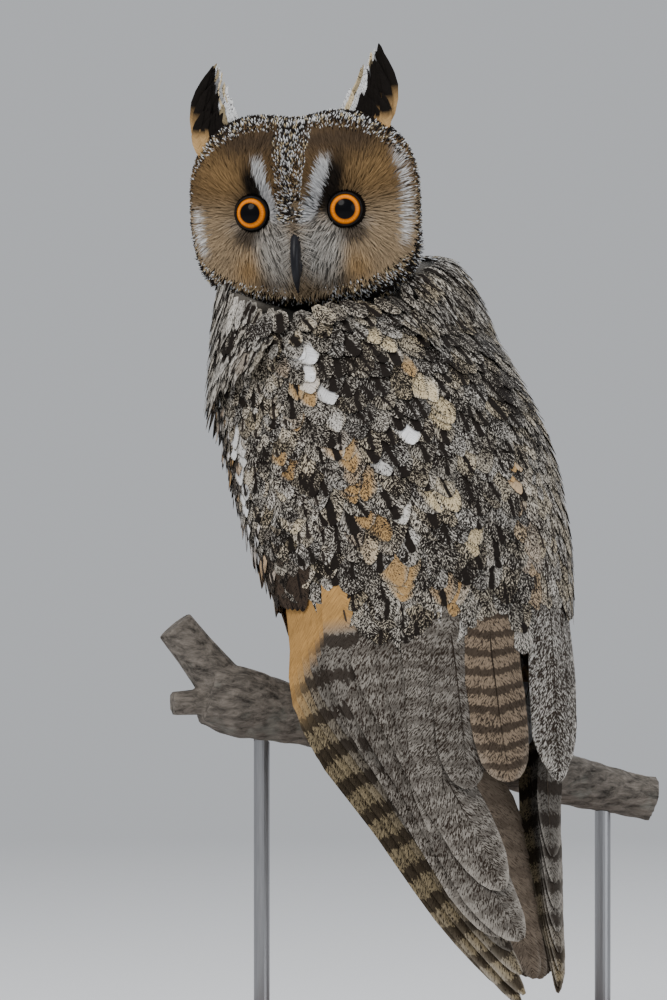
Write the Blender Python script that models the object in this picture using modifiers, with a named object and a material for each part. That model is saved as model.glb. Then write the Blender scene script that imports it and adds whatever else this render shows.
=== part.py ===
"""Life-size long-eared owl, seen from behind with its head turned back, on a cut branch held by a display stand.

All sizes are in millimetres and degrees until a mesh is made, which is in metres.
The bird is built round its own frame: a point lies so far below the nape, so far to the bird's right and so far
towards its back. The body's outline, with the folded wings, is one tapering oval tube in that frame.
"""

import math

import bmesh
import bpy
import numpy as np
from mathutils import Matrix, Vector

MM = 0.001
GAP = 0.36

# How the bird sits: it faces away and to the left, and leans forward
BODY_TURN = math.radians(36)
BODY_LEAN = math.radians(22)
NAPE = np.array([-35.6, 32.0, 281.0])
AXIS_BACK, LAYER_FLATNESS = 5.0, 0.75

# The outline: distance below the nape, half width, depth of the back, depth of the belly, shift to the right
OUTLINE = np.array(
    [
        (-14, 44, 32, 33, -2),
        (0, 52, 36, 36, -3),
        (12, 57.5, 41, 40, -2.5),
        (25, 60, 45.5, 43, -1),
        (45, 63, 51, 46, 2),
        (70, 66, 54, 47, 4.8),
        (95, 65.5, 54, 44, 5.6),
        (120, 63, 52, 34, 5.2),
        (140, 61, 47, 20, 3),
        (158, 59, 42, 14, 0),
        (178, 52, 36, 9, 0),
        (205, 41, 29, 8, 2.5),
        (225, 36, 27, 8, 5),
        (248, 30, 24, 7, 8),
        (268, 24, 22, 6, 12),
        (290, 15, 18, 5, 15),
    ],
    float,
)
# Room that the torso leaves for the folded wing, by distance below the nape
WING_ROOM = np.array(
    [(0, 0), (12, 2), (30, 5), (60, 7), (100, 8.5), (118, 10), (140, 14), (160, 18), (178, 22)], float
)
WING_INNER_EDGE, WING_OUTER_EDGE, WING_EDGE_WIDTH = 30.0, 100.0, 10.0
TORSO_TOP, TORSO_END = 24.0, 178.0
# The neck's upper ring, hidden in the head: its centre from the nape, and its half width and half depth
NECK_TOP, NECK_SIZE, NECK_SHOULDER = np.array([0.0, -12.0, 18.0]), np.array([40.0, 22.0, 0.0]), 2.0
# Under the chin the ring dips and the shoulder is flat: the middle and spread of that angle, and how much
CHIN_ANGLE, CHIN_SPREAD, CHIN_DIP, CHIN_FLATNESS = -36.0, 50.0, 16.0, 1.3
ARM_TOP, ARM_END, HAND_TOP, HAND_END = 16.0, 112.0, 34.0, 120.0
ARM_HAND_LINE, PLATE_GAP = 88.0, 0.65

# The head: its place from the nape, its turn towards the camera's left, its roll, and its size
HEAD_OFFSET = np.array([-8.25, -22.0, 35.4])
HEAD_TURN = math.radians(10)
HEAD_ROLL = math.radians(2.6)
DISC_HALF_WIDTH, DISC_TOP, DISC_BOTTOM, DISC_SQUARENESS = 43.5, 36.5, 38.0, 2.7
RIM_DEPTH, FACE_BULGE, HEAD_BACK = 8.0, 19.0, 44.0
EYE_PLACE = np.array([17.0, 15.6, -2.0])
EYE_RADIUS, LID_RADIUS, LID_WIDTH, LID_STEPS = 8.5, 7.3, 1.0, 16

# The branch under the feet
PERCH_OFFSET = np.array([17.8, -24.5, -163.0])
PERCH_DIRECTION = np.array([1.0, 0.249, -0.246])
PERCH_LEFT, PERCH_RIGHT = -68.0, 110.0
PERCH_LEFT_RADIUS, PERCH_RIGHT_RADIUS = 11.4, 8.7
FOOT_SPREAD = 19.0

# The stand
BASE_SIZE = (184.0, 142.0, 14.0)
BASE_CORNER, BASE_EDGE = 12.0, 1.6
ROD_RADIUS = 3.0
ROD_ALONG_PERCH = (-46.0, 90.0)

PLUMAGE, DARK_PLUMAGE, PALE_PLUMAGE = (0.20, 0.16, 0.12), (0.07, 0.055, 0.045), (0.42, 0.36, 0.28)
BUFF_PLUMAGE, FACE_PLUMAGE, TUFT_PLUMAGE = (0.55, 0.33, 0.13), (0.36, 0.25, 0.15), (0.05, 0.045, 0.045)
IRIS, HORN, BARK = (0.85, 0.34, 0.01), (0.03, 0.03, 0.035), (0.10, 0.085, 0.07)
OAK, STEEL = (0.16, 0.08, 0.04), (0.30, 0.30, 0.31)


def unit(vector):
    return vector / np.linalg.norm(vector)


UP = np.array([0.0, 0.0, 1.0])
RIGHT = np.array([math.cos(BODY_TURN), math.sin(BODY_TURN), 0.0])
FACING = np.array([-math.sin(BODY_TURN), math.cos(BODY_TURN), 0.0])
DOWN = -math.cos(BODY_LEAN) * UP - math.sin(BODY_LEAN) * FACING
BACK = math.sin(BODY_LEAN) * UP - math.cos(BODY_LEAN) * FACING
PERCH_CENTRE = NAPE + PERCH_OFFSET
PERCH_ALONG = unit(PERCH_DIRECTION)
PERCH_TOP = unit(UP - PERCH_ALONG * PERCH_ALONG[2])
PERCH_FRONT = np.cross(PERCH_TOP, PERCH_ALONG)


def smooth(stations, column, place):
    """A cubic curve through the stations' values of one column."""
    xs, ys = stations[:, 0], stations[:, column]
    slopes = np.gradient(ys, xs)
    place = np.clip(np.asarray(place, float), xs[0], xs[-1])
    i = np.clip(np.searchsorted(xs, place) - 1, 0, len(xs) - 2)
    step = xs[i + 1] - xs[i]
    t = (place - xs[i]) / step
    start = (2 * t**3 - 3 * t**2 + 1) * ys[i] + (t**3 - 2 * t**2 + t) * step * slopes[i]
    return start + (3 * t**2 - 2 * t**3) * ys[i + 1] + (t**3 - t**2) * step * slopes[i + 1]


def ease(x):
    x = np.clip(x, 0, 1)
    return x * x * (3 - 2 * x)


def in_body(down, right, back):
    """A point of the bird's frame as a point of the part's frame."""
    down, right, back = (np.asarray(v, float)[..., None] for v in (down, right, back))
    return NAPE + down * DOWN + right * RIGHT + back * BACK


def outline_point(down, angle, lift, side):
    """A point on the outline. The angle runs from the middle of the back, 0, round that side to the belly, 180.

    Lift moves it out along the layers' direction, which turns from the outline's own to the back's further down.
    """
    a = np.radians(angle)
    depth = np.where(np.cos(a) > 0, smooth(OUTLINE, 2, down), smooth(OUTLINE, 3, down))
    right = smooth(OUTLINE, 4, down) + side * smooth(OUTLINE, 1, down) * np.sin(a)
    point = in_body(down, right, AXIS_BACK + depth * np.cos(a))
    return point + layer_direction(down, angle, side) * np.asarray(lift, float)[..., None]


def inner_point(down, angle, inset, side):
    """A point of the outline moved so far straight in towards the body's middle line."""
    point = outline_point(down, angle, np.zeros_like(down), side)
    middle = in_body(down, smooth(OUTLINE, 4, down), np.full_like(down, AXIS_BACK))
    radius = np.linalg.norm(point - middle, axis=-1)
    return middle + (point - middle) * (1 - inset / radius)[..., None]


def layer_direction(down, angle, side):
    """Outwards and square to the bird's length, and mostly straight back where the folded wings lie on the tail."""
    a = np.radians(angle)
    depth = np.where(np.cos(a) > 0, smooth(OUTLINE, 2, down), smooth(OUTLINE, 3, down))
    right = side * np.sin(a) / smooth(OUTLINE, 1, down)
    out = np.asarray(right)[..., None] * RIGHT + np.asarray(np.cos(a) / depth)[..., None] * BACK
    out = out / np.linalg.norm(out, axis=-1, keepdims=True)
    flat = LAYER_FLATNESS * ease((np.asarray(down, float) - 120) / 70)[..., None]
    out = out * (1 - flat) + BACK * flat
    return out / np.linalg.norm(out, axis=-1, keepdims=True)


def wing_room(down, angle):
    """How far the torso lies inside the outline. Below the shoulders the room spreads over the whole back."""
    angle = np.abs(angle)
    inner = np.interp(down, [103, 150, 166], [WING_INNER_EDGE, 4, -20])
    outer_width = np.interp(down, [115, 165], [WING_EDGE_WIDTH, 78])
    share = np.clip((angle - inner) / WING_EDGE_WIDTH, 0, 1)
    share = share * (1 - np.clip((angle - WING_OUTER_EDGE) / outer_width, 0, 1))
    return smooth(WING_ROOM, 1, down) * share


# Meshes and objects


def make_material(name, colour, roughness, metallic=0.0):
    material = bpy.data.materials.new(name)
    material.use_nodes = True
    shader = material.node_tree.nodes["Principled BSDF"]
    shader.inputs["Base Color"].default_value = (*colour, 1)
    shader.inputs["Roughness"].default_value = roughness
    shader.inputs["Metallic"].default_value = metallic
    material.diffuse_color = (*colour, 1)
    return material


def make_object(name, points, faces, material=None, collection=None):
    """An object from points in millimetres, with its faces turned outwards."""
    mesh = bpy.data.meshes.new(name)
    mesh.from_pydata((np.asarray(points, float).reshape(-1, 3) * MM).tolist(), [], faces)
    shape = bmesh.new()
    shape.from_mesh(mesh)
    return add_shape(name, shape, material, collection)


def add_shape(name, shape, material=None, collection=None):
    """An object from a bmesh, in triangles, so that a bent face has one reading in every later step."""
    bmesh.ops.recalc_face_normals(shape, faces=shape.faces)
    bmesh.ops.triangulate(shape, faces=shape.faces)
    mesh = bpy.data.meshes.new(name)
    shape.to_mesh(mesh)
    shape.free()
    return add_object(name, mesh, material, collection)


def add_object(name, mesh, material=None, collection=None):
    made = bpy.data.objects.new(name, mesh)
    (collection or owl_parts).objects.link(made)
    if material:
        mesh.materials.append(material)
    mesh.shade_smooth()
    mesh.set_sharp_from_angle(angle=math.radians(50))
    return made


def tube_faces(rings, columns):
    """Faces of a closed tube of rings, with a flat cap at each end."""
    faces = []
    for i in range(rings - 1):
        for j in range(columns):
            k = (j + 1) % columns
            faces.append((i * columns + j, i * columns + k, (i + 1) * columns + k, (i + 1) * columns + j))
    faces.append(tuple(range(columns))[::-1])
    faces.append(tuple((rings - 1) * columns + j for j in range(columns)))
    return faces


def tube(name, path, radii, columns=12, flatten=1.0, upright=UP, material=None, collection=None):
    """A round or oval tube along a path, with a radius at each point. Flatten is its thickness along upright."""
    path, radii = np.asarray(path, float), np.asarray(radii, float)
    along = np.gradient(path, axis=0)
    along /= np.linalg.norm(along, axis=1, keepdims=True)
    across = np.cross(along, np.broadcast_to(upright, along.shape))
    across /= np.linalg.norm(across, axis=1, keepdims=True)
    over = np.cross(across, along)
    turn = np.linspace(0, 2 * math.pi, columns, endpoint=False)
    ring = np.cos(turn)[None, :, None] * across[:, None] + flatten * np.sin(turn)[None, :, None] * over[:, None]
    points = path[:, None] + radii[:, None, None] * ring
    return make_object(name, points, tube_faces(len(path), columns), material, collection)


def vane_faces(sections):
    """Triangles of a vane with six points a section, split alike on its upper and lower face."""
    faces = []
    for i in range(sections - 1):
        for a in range(6):
            b = (a + 1) % 6
            p, q, r, s = i * 6 + a, i * 6 + b, (i + 1) * 6 + b, (i + 1) * 6 + a
            faces += [(p, q, r), (p, r, s)] if a in (0, 1, 2) else [(p, q, s), (q, r, s)]
    last = (sections - 1) * 6
    for cap in ([0, 1, 2, 3, 4, 5], [last + k for k in (5, 4, 3, 2, 1, 0)]):
        a, b, c, d, e, f = cap
        faces += [(a, e, f), (a, b, e), (b, d, e), (b, c, d)]
    return faces


# Share of the full width at each share of a feather's length
VANE_PLACES = np.array([0.0, 0.3, 0.64, 0.88, 1.0])
VANE_WIDTHS = np.array([0.45, 0.9, 1.0, 0.76, 0.2])
COVERT_PLACES = np.array([0.0, 0.5, 0.86, 1.0])
VANE_MIDDLE, VANE_EDGE, VANE_TIP_SHARE, VANE_CAMBER = 0.64, 0.5, 0.85, 0.05


def vane(path, normals, outer, inner, side, roll, places=VANE_PLACES):
    """A feather as a thin closed blade: its outer and inner web on each side of the shaft, rolled about it.

    A positive roll lifts the outer web, so that feathers in a row lie over each other like tiles.
    """
    along = np.gradient(path, axis=0)
    along /= np.linalg.norm(along, axis=1, keepdims=True)
    outward = side * np.cross(normals, along)
    outward /= np.linalg.norm(outward, axis=1, keepdims=True)
    over = side * np.cross(along, outward)
    c, s = math.cos(math.radians(roll)), math.sin(math.radians(roll))
    outward, over = c * outward + s * over, c * over - s * outward
    widths = np.interp(places, VANE_PLACES, VANE_WIDTHS)[:, None]
    out_edge = path + (outward - over * VANE_CAMBER) * outer * widths
    in_edge = path - (outward + over * VANE_CAMBER) * inner * widths
    thin = 1 - (1 - VANE_TIP_SHARE) * places[:, None]
    middle, rim = over * VANE_MIDDLE / 2 * thin, over * VANE_EDGE / 2 * thin
    section = [out_edge + rim, path + middle, in_edge + rim, in_edge - rim, path - middle, out_edge - rim]
    return np.stack(section, axis=1)


def outline_vane(name, root, tip, webs, side, roll, lifts, collection, places=VANE_PLACES, bow=1.0):
    """A vane laid on the outline from its root to its tip, each a distance down and an angle."""
    down = root[0] + (tip[0] - root[0]) * places
    angle = root[1] + (tip[1] - root[1]) * places**bow
    lift = lifts[0] + (lifts[1] - lifts[0]) * places
    path = outline_point(down, angle, lift, side)
    points = vane(path, layer_direction(down, angle, side), *webs, side, roll, places)
    return make_object(name, points, vane_faces(len(places)), collection=collection)


def angle_across(down, right, side):
    """The outline's angle on that side where a point lies so far to the bird's right of its middle."""
    share = side * (right - float(smooth(OUTLINE, 4, down))) / float(smooth(OUTLINE, 1, down))
    return math.degrees(math.asin(max(-0.97, min(0.97, share))))


def evaluated(target):
    """Applies an object's modifiers."""
    graph = bpy.context.evaluated_depsgraph_get()
    mesh = bpy.data.meshes.new_from_object(target.evaluated_get(graph))
    target.modifiers.clear()
    old, target.data = target.data, mesh
    bpy.data.meshes.remove(old)


WELD = 2e-7


def keep_largest(target):
    """Drops every loose shell but the largest closed one."""
    shape = bmesh.new()
    shape.from_mesh(target.data)
    bmesh.ops.remove_doubles(shape, verts=shape.verts, dist=WELD)
    bmesh.ops.triangulate(shape, faces=shape.faces)
    unseen, shells = set(shape.verts), []
    while unseen:
        stack, shell = [unseen.pop()], set()
        while stack:
            vertex = stack.pop()
            shell.add(vertex)
            near = {edge.other_vert(vertex) for edge in vertex.link_edges} & unseen
            unseen -= near
            stack += near
        shells.append(shell)
    largest = max(shells, key=lambda shell: spread(shell))
    bmesh.ops.delete(shape, geom=[v for v in shape.verts if v not in largest], context="VERTS")
    shape.to_mesh(target.data)
    shape.free()


def spread(shell):
    """The volume of the box round a shell's points."""
    points = np.array([v.co for v in shell])
    return float(np.prod(points.max(0) - points.min(0) + 1e-6))


def boolean(target, operation, other=None, collection=None, solver="EXACT"):
    modifier = target.modifiers.new("join_or_cut", "BOOLEAN")
    modifier.operation = operation
    modifier.solver = solver
    if collection:
        modifier.operand_type = "COLLECTION"
        modifier.collection = collection
    else:
        modifier.object = other
    evaluated(target)


def fuse(target, pieces, solver="EXACT"):
    """Joins a collection's pieces to the target and removes them."""
    boolean(target, "UNION", collection=pieces, solver=solver)
    for piece in list(pieces.objects):
        bpy.data.objects.remove(piece)
    keep_largest(target)
    finish_shading(target)


def finish_shading(target):
    target.data.shade_smooth()
    target.data.set_sharp_from_angle(angle=math.radians(50))


def grown(source, by):
    """A copy of a round form with its surface moved out, to cut its neighbours with."""
    copy = bpy.data.objects.new(source.name + "_grown", source.data.copy())
    cutters.objects.link(copy)
    copy.hide_render = True
    copy.display_type = "WIRE"
    mesh = copy.data
    points = np.empty(len(mesh.vertices) * 3, np.float32)
    normals = np.empty(len(mesh.vertices) * 3, np.float32)
    mesh.vertices.foreach_get("co", points)
    mesh.vertices.foreach_get("normal", normals)
    mesh.vertices.foreach_set("co", points + normals * by * MM)
    mesh.update()
    return copy


def cut(target, *others):
    for other in others:
        boolean(target, "DIFFERENCE", other)
    keep_largest(target)
    finish_shading(target)


def new_collection(name, shown=True):
    collection = bpy.data.collections.new(name)
    bpy.context.scene.collection.children.link(collection)
    collection.hide_render = not shown
    return collection


# The torso, neck and tail


def make_torso(material):
    """The body without its wings: the outline, with a recess where each folded wing lies."""
    down = np.concatenate([np.linspace(TORSO_TOP, 100, 6), np.linspace(110, TORSO_END, 10)])
    return recessed_tube("torso", np.repeat(down[:, None], 36, 1), material)


def make_neck(material):
    """From the torso's upper end, round the shoulders, up to a level ring inside the head."""
    degrees = np.linspace(-180, 180, 28, endpoint=False)
    a = np.radians(degrees)[:, None]
    level_back = unit(BACK - UP * BACK[2])
    top = NAPE + NECK_TOP + NECK_SIZE * (np.sin(a) * RIGHT + np.cos(a) * level_back)
    chin = np.exp(-(((degrees - CHIN_ANGLE) / CHIN_SPREAD) ** 2))
    top[:, 2] -= CHIN_DIP * chin
    down = np.full(28, TORSO_TOP - GAP)
    side = np.where(degrees < 0, -1.0, 1.0)
    bottom = inner_point(down, np.abs(degrees), wing_room(down, degrees), side)
    share = np.linspace(0, 1, 5)[:, None, None]
    points = bottom + (top - bottom) * share
    points[..., 2] = top[:, 2] + (bottom - top)[:, 2] * (1 - share[..., 0]) ** (NECK_SHOULDER - CHIN_FLATNESS * chin)
    return make_object("neck", points, tube_faces(5, 28), material)


def recessed_tube(name, down, material):
    """Rings round the body at the distances given for each column, each less the room for the wings."""
    a = np.broadcast_to(np.linspace(-180, 180, down.shape[1], endpoint=False), down.shape)
    points = inner_point(down, np.abs(a), wing_room(down, a), np.where(a < 0, -1.0, 1.0))
    return make_object(name, points, tube_faces(*down.shape), material)


TAIL_PAIRS, TAIL_ROOT, TAIL_TIP, TAIL_SWING = 6, 196.0, 272.0, (15.0, 23.0)
TAIL_TOP, TAIL_STEP = 0.6, 0.92


def make_tail(material):
    """A root that tapers from the rump, and twelve feathers, the middle pair uppermost."""
    root = np.array(
        [(TORSO_END + GAP, 26, 9, 6, 3), (192, 23, 6, 2, 9), (206, 18, 3.6, -1.4, 14), (218, 11, 2, -2.4, 16)]
    )
    turn = np.linspace(0, 2 * math.pi, 18, endpoint=False)
    across = root[:, 4, None] + root[:, 1, None] * np.cos(turn)
    back = root[:, 3, None] + root[:, 2, None] * np.sin(turn)
    points = in_body(np.repeat(root[:, :1], 18, 1), across, back)
    tail = make_object("tail", points, tube_faces(4, 18), material)
    feathers = new_collection("tail_feathers")
    for pair in range(TAIL_PAIRS):
        for side in (-1, 1):
            down = TAIL_ROOT + (TAIL_TIP - 1.6 * pair - TAIL_ROOT) * VANE_PLACES
            start, end = TAIL_SWING[0] + side * (1.5 + 2.5 * pair), TAIL_SWING[1] + side * (1.6 + 2.3 * pair)
            across = start + (end - start) * VANE_PLACES
            level = TAIL_TOP - TAIL_STEP * (pair + 0.5 * (side > 0)) - 2.4 * VANE_PLACES
            path = in_body(down, across, level)
            shape = vane(path, np.broadcast_to(BACK, path.shape), 6.0, 7.0, side, -1.5)
            make_object(f"tail_{pair}_{side}", shape, vane_faces(5), collection=feathers)
    fuse(tail, feathers)
    return tail


# The wings


def make_plate(name, side, down, inner, outer, material, columns):
    """A wing's fleshy part: the outline on its outer face, and the torso's recess, less a gap, on its inner face."""
    d = np.repeat(down[:, None], columns, 1)
    a = inner[:, None] + (outer - inner)[:, None] * np.linspace(0, 1, columns)
    outside = outline_point(d, a, np.zeros_like(d), side)
    inside = inner_point(d, a, np.maximum(wing_room(d, a) - PLATE_GAP, 0.8), side)
    rings = np.concatenate([outside, inside[:, ::-1]], axis=1)
    return make_object(name, rings, tube_faces(len(down), 2 * columns), material)


def make_arm(side, name, material, tips):
    """The arm with its secondaries and tertials, and the greater coverts over their bases."""
    down = np.array([ARM_TOP, 26, 42, 64, 86, 102, ARM_END])
    inner = np.array([60, 47, 39, 37, 37, 39, 40], float)
    outer = np.array([74, 84] + [ARM_HAND_LINE] * 4 + [86], float)
    arm = make_plate(name, side, down, inner, outer, material, 8)
    feathers = new_collection(name + "_feathers")
    for i, (tip_down, tip_right) in enumerate(tips):
        t = i / (len(tips) - 1)
        root, tip = (99.0, 81.0 - 39.0 * t), (tip_down, angle_across(tip_down, tip_right, side))
        levels = (-3.4 + 0.6 * t, -4.2 + 3.4 * t)
        webs = (5.0, 8.0 + 7.0 * t * (side < 0))
        outline_vane(f"{name}_secondary_{i}", root, tip, webs, side, 7.0, levels, feathers, bow=1.6)
    for i in range(GREATER_COVERTS):
        t = i / (GREATER_COVERTS - 1)
        root, tip = (93.0, 79.0 - 35.0 * t), (146.0 + 3.0 * t, 76.0 - 52.0 * t)
        levels = (-1.1, -0.4 + 0.7 * t)
        outline_vane(f"{name}_covert_{i}", root, tip, (5.6, 6.8), side, 6.0, levels, feathers, COVERT_PLACES, 1.3)
    fuse(arm, feathers)
    return arm


def make_hand(side, name, material, tips):
    """The hand with its primaries, primary coverts and the alula at the bend of the wing."""
    down = np.array([HAND_TOP, 48, 68, 90, 106, HAND_END])
    inner = np.full(6, ARM_HAND_LINE + 0.5)
    outer = np.array([97, 102, 104, 104, 103, 100], float)
    hand = make_plate(name, side, down, inner, outer, material, 4)
    feathers = new_collection(name + "_feathers")
    for i, (tip_down, tip_right) in enumerate(tips):
        t = i / (len(tips) - 1)
        root, tip = (111.0, 93.0 + 4.5 * t), (tip_down, angle_across(tip_down, tip_right, side))
        levels = (-7.0 - 0.5 * t, -7.2 - 5.2 * t)
        webs, bow = (3.6, 9.4 - 4.4 * t), 1.35 + 0.95 * t
        outline_vane(f"{name}_primary_{i}", root, tip, webs, side, 5.0, levels, feathers, bow=bow)
    for i in range(PRIMARY_COVERTS):
        t = i / (PRIMARY_COVERTS - 1)
        root, tip = (98.0, 92.8 + 6.2 * t), (136.0 - 6.0 * t, 89.5 + 8.5 * t)
        levels = (-1.6 - 0.4 * t, -1.8 - 0.9 * t)
        outline_vane(f"{name}_primary_covert_{i}", root, tip, (3.4, 3.6), side, 7.0, levels, feathers, COVERT_PLACES)
    for i in range(ALULA_FEATHERS):
        t = i / (ALULA_FEATHERS - 1)
        root, tip = (58.0 + 6 * t, 101.0 - 2 * t), (84.0 + 10 * t, 104.0 - 5 * t)
        outline_vane(f"{name}_alula_{i}", root, tip, (3.0, 4.0), side, 2.0, (-0.6, 2.0), feathers, COVERT_PLACES)
    fuse(hand, feathers)
    return hand


GREATER_COVERTS, PRIMARY_COVERTS, ALULA_FEATHERS = 7, 4, 3
# Feather tips, each a distance below the nape and a place to the right of the body's middle.
# The secondaries run from the outermost to the innermost, the primaries from the innermost to the outermost.
LEFT_SECONDARIES = [(211, -26), (213, -22), (214, -18), (214, -14), (213, -10), (212, -6), (210, -1), (207, 4)]
LEFT_PRIMARIES = [
    (230, -21), (240, -14), (248, -7), (257, -3), (266, 0), (275, 3), (282, 4), (285, 3), (279, -1), (262, -9)
]
RIGHT_SECONDARIES = [(209, 47), (210, 45), (210, 42), (209, 39), (208, 36), (206, 33), (203, 30), (199, 27)]
RIGHT_PRIMARIES = [
    (226, 42), (236, 41), (246, 40), (255, 39), (263, 38), (270, 36), (276, 34), (278, 33), (272, 35), (256, 38)
]


# The head


def head_frame():
    """The head's axes as columns: to the camera's right, forwards and up."""
    forward = np.array([-math.sin(HEAD_TURN), -math.cos(HEAD_TURN), 0])
    right = np.cross(UP, -forward) * -1
    c, s = math.cos(HEAD_ROLL), math.sin(HEAD_ROLL)
    return c * right + s * UP, forward, c * UP - s * right


HEAD_RIGHT, HEAD_FORWARD, HEAD_UP = head_frame()
HEAD_CENTRE = NAPE + HEAD_OFFSET


def in_head(right, forward, up):
    """A point of the head's frame as a point of the part's frame."""
    right, forward, up = (np.asarray(v, float)[..., None] for v in (right, forward, up))
    return HEAD_CENTRE + right * HEAD_RIGHT + forward * HEAD_FORWARD + up * HEAD_UP


def disc_rim(turn):
    """The facial disc's edge seen from the front, at an angle from the head's right."""
    c, s = np.cos(turn), np.sin(turn)
    height = np.where(s > 0, DISC_TOP, DISC_BOTTOM)
    reach = (np.abs(c / DISC_HALF_WIDTH) ** DISC_SQUARENESS + np.abs(s / height) ** DISC_SQUARENESS) ** (
        -1 / DISC_SQUARENESS
    )
    return reach * c, reach * s


def face_depth(right, up, share):
    """How far forward the face lies: a dome with dished eyes, a ridge from crown to bill and a raised rim."""
    dome = RIM_DEPTH + FACE_BULGE * (1 - share**2.3)
    eye = np.hypot(np.abs(right) - EYE_PLACE[0] - 1, up - EYE_PLACE[2])
    dish = -4.6 * np.exp(-((eye / 12.5) ** 2))
    ridge = 5.5 * np.exp(-((right / 6.0) ** 2)) * ease((up + 34) / 14) * (1 - ease((up - 14) / 18))
    rim = 1.8 * np.exp(-(((share - 0.91) / 0.06) ** 2))
    return dome + dish + ridge + rim


def head_shape(points):
    """Moves the points of a unit sphere, whose pole is the face's middle, to the head's surface."""
    polar = np.arccos(np.clip(points[:, 2], -1, 1)) / (math.pi / 2)
    turn = np.arctan2(points[:, 1], points[:, 0])
    rim_right, rim_up = disc_rim(turn)
    front = np.clip(polar, 0, 1)
    behind = np.clip(polar - 1, 0, 1) * math.pi / 2
    narrowing = np.where(polar > 1, np.cos(behind) ** 0.8, front)
    right, up = rim_right * narrowing, rim_up * narrowing
    forward = np.where(polar > 1, RIM_DEPTH - HEAD_BACK * np.sin(behind), face_depth(right, up, front))
    return in_head(right, forward, up)


def head_ball(name, material=None, collection=None):
    """The head's form with no sockets or lids."""
    shape = bmesh.new()
    bmesh.ops.create_uvsphere(shape, u_segments=28, v_segments=16, radius=1)
    for vertex, place in zip(shape.verts, head_shape(np.array([v.co for v in shape.verts]))):
        vertex.co = Vector(place) * MM
    return add_shape(name, shape, material, collection)


def make_head(material):
    head = head_ball("head", material)
    lids = new_collection("lids")
    for side in (-1, 1):
        place, normal = eye_place(side), eye_direction(side)
        turn = np.linspace(0, 2 * math.pi, LID_STEPS, endpoint=False)
        across = unit(np.cross(normal, HEAD_UP))
        over = np.cross(across, normal)
        centre = place + normal * math.sqrt(EYE_RADIUS**2 - LID_RADIUS**2) * 1.12
        ring = centre + LID_RADIUS * (np.cos(turn)[:, None] * across + np.sin(turn)[:, None] * over)
        out = (ring - centre) / LID_RADIUS
        small = np.linspace(0, 2 * math.pi, 6, endpoint=False)
        points = ring[:, None] + LID_WIDTH * (
            np.cos(small)[None, :, None] * out[:, None] + np.sin(small)[None, :, None] * normal
        )
        faces = [
            (i * 6 + j, i * 6 + (j + 1) % 6, (i + 1) % LID_STEPS * 6 + (j + 1) % 6, (i + 1) % LID_STEPS * 6 + j)
            for i in range(LID_STEPS)
            for j in range(6)
        ]
        make_object(f"lid_{side}", points, faces, collection=lids)
    fuse(head, lids)
    return head


def eye_place(side):
    return in_head(side * EYE_PLACE[0], EYE_PLACE[1], EYE_PLACE[2])


def eye_direction(side):
    return unit(HEAD_FORWARD + side * 0.14 * HEAD_RIGHT)


def make_eye(side, name, material):
    bpy.ops.mesh.primitive_uv_sphere_add(
        segments=18, ring_count=10, radius=EYE_RADIUS * MM, location=Vector(eye_place(side)) * MM
    )
    eye = bpy.context.object
    eye.name = name
    eye.rotation_euler = Vector(eye_direction(side)).to_track_quat("Z", "Y").to_euler()
    return adopt(eye, material)


def adopt(made, material):
    """Moves a new primitive to the owl's collection, gives it its material and keeps its place."""
    for collection in list(made.users_collection):
        collection.objects.unlink(made)
    owl_parts.objects.link(made)
    made.data.materials.append(material)
    made.data.shade_smooth()
    return made


def make_bill(head_cutter, material):
    """The hooked upper bill with its nostrils, and the lower bill behind it, parted by the mouth's line."""
    upper_path = in_head(
        [0, 0, 0, 0, 0, 0], [20, 28.5, 31.8, 32.8, 32.0, 29.4], [-8, -9.5, -14, -20, -26.5, -32.5]
    )
    upper = tube("bill_upper", upper_path, [3.6, 3.6, 3.3, 2.8, 1.9, 0.5], 12, 1.5, HEAD_FORWARD, material)
    lower_path = in_head([0, 0, 0, 0], [20, 25.6, 27.6, 27.8], [-16, -18.5, -22.5, -28])
    lower = tube("bill_lower", lower_path, [2.9, 2.7, 2.3, 0.7], 10, 1.0, HEAD_FORWARD, material)
    cut(upper, head_cutter)
    for side in (-1, 1):
        bpy.ops.mesh.primitive_uv_sphere_add(
            segments=10, ring_count=6, radius=0.9 * MM, location=Vector(in_head(side * 2.8, 33.6, -13.0)) * MM
        )
        nostril = bpy.context.object
        nostril.hide_render = True
        cut(upper, nostril)
        bpy.data.objects.remove(nostril)
    cut(lower, head_cutter, grown(upper, GAP))


TUFT_FEATHERS, TUFT_FORWARD, TUFT_ROOT, TUFT_SPREAD = 6, 5.0, (10.0, 4.6, 6.0), 7.4
# For each side: how far out and up its root lies, how steep the crown is there, length, lean and outward bow
TUFTS = {-1: (31.0, 29.0, 0.85, 24.0, 0.09, 4.2), 1: (21.5, 31.0, 0.55, 29.0, 0.34, 2.4)}


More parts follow.
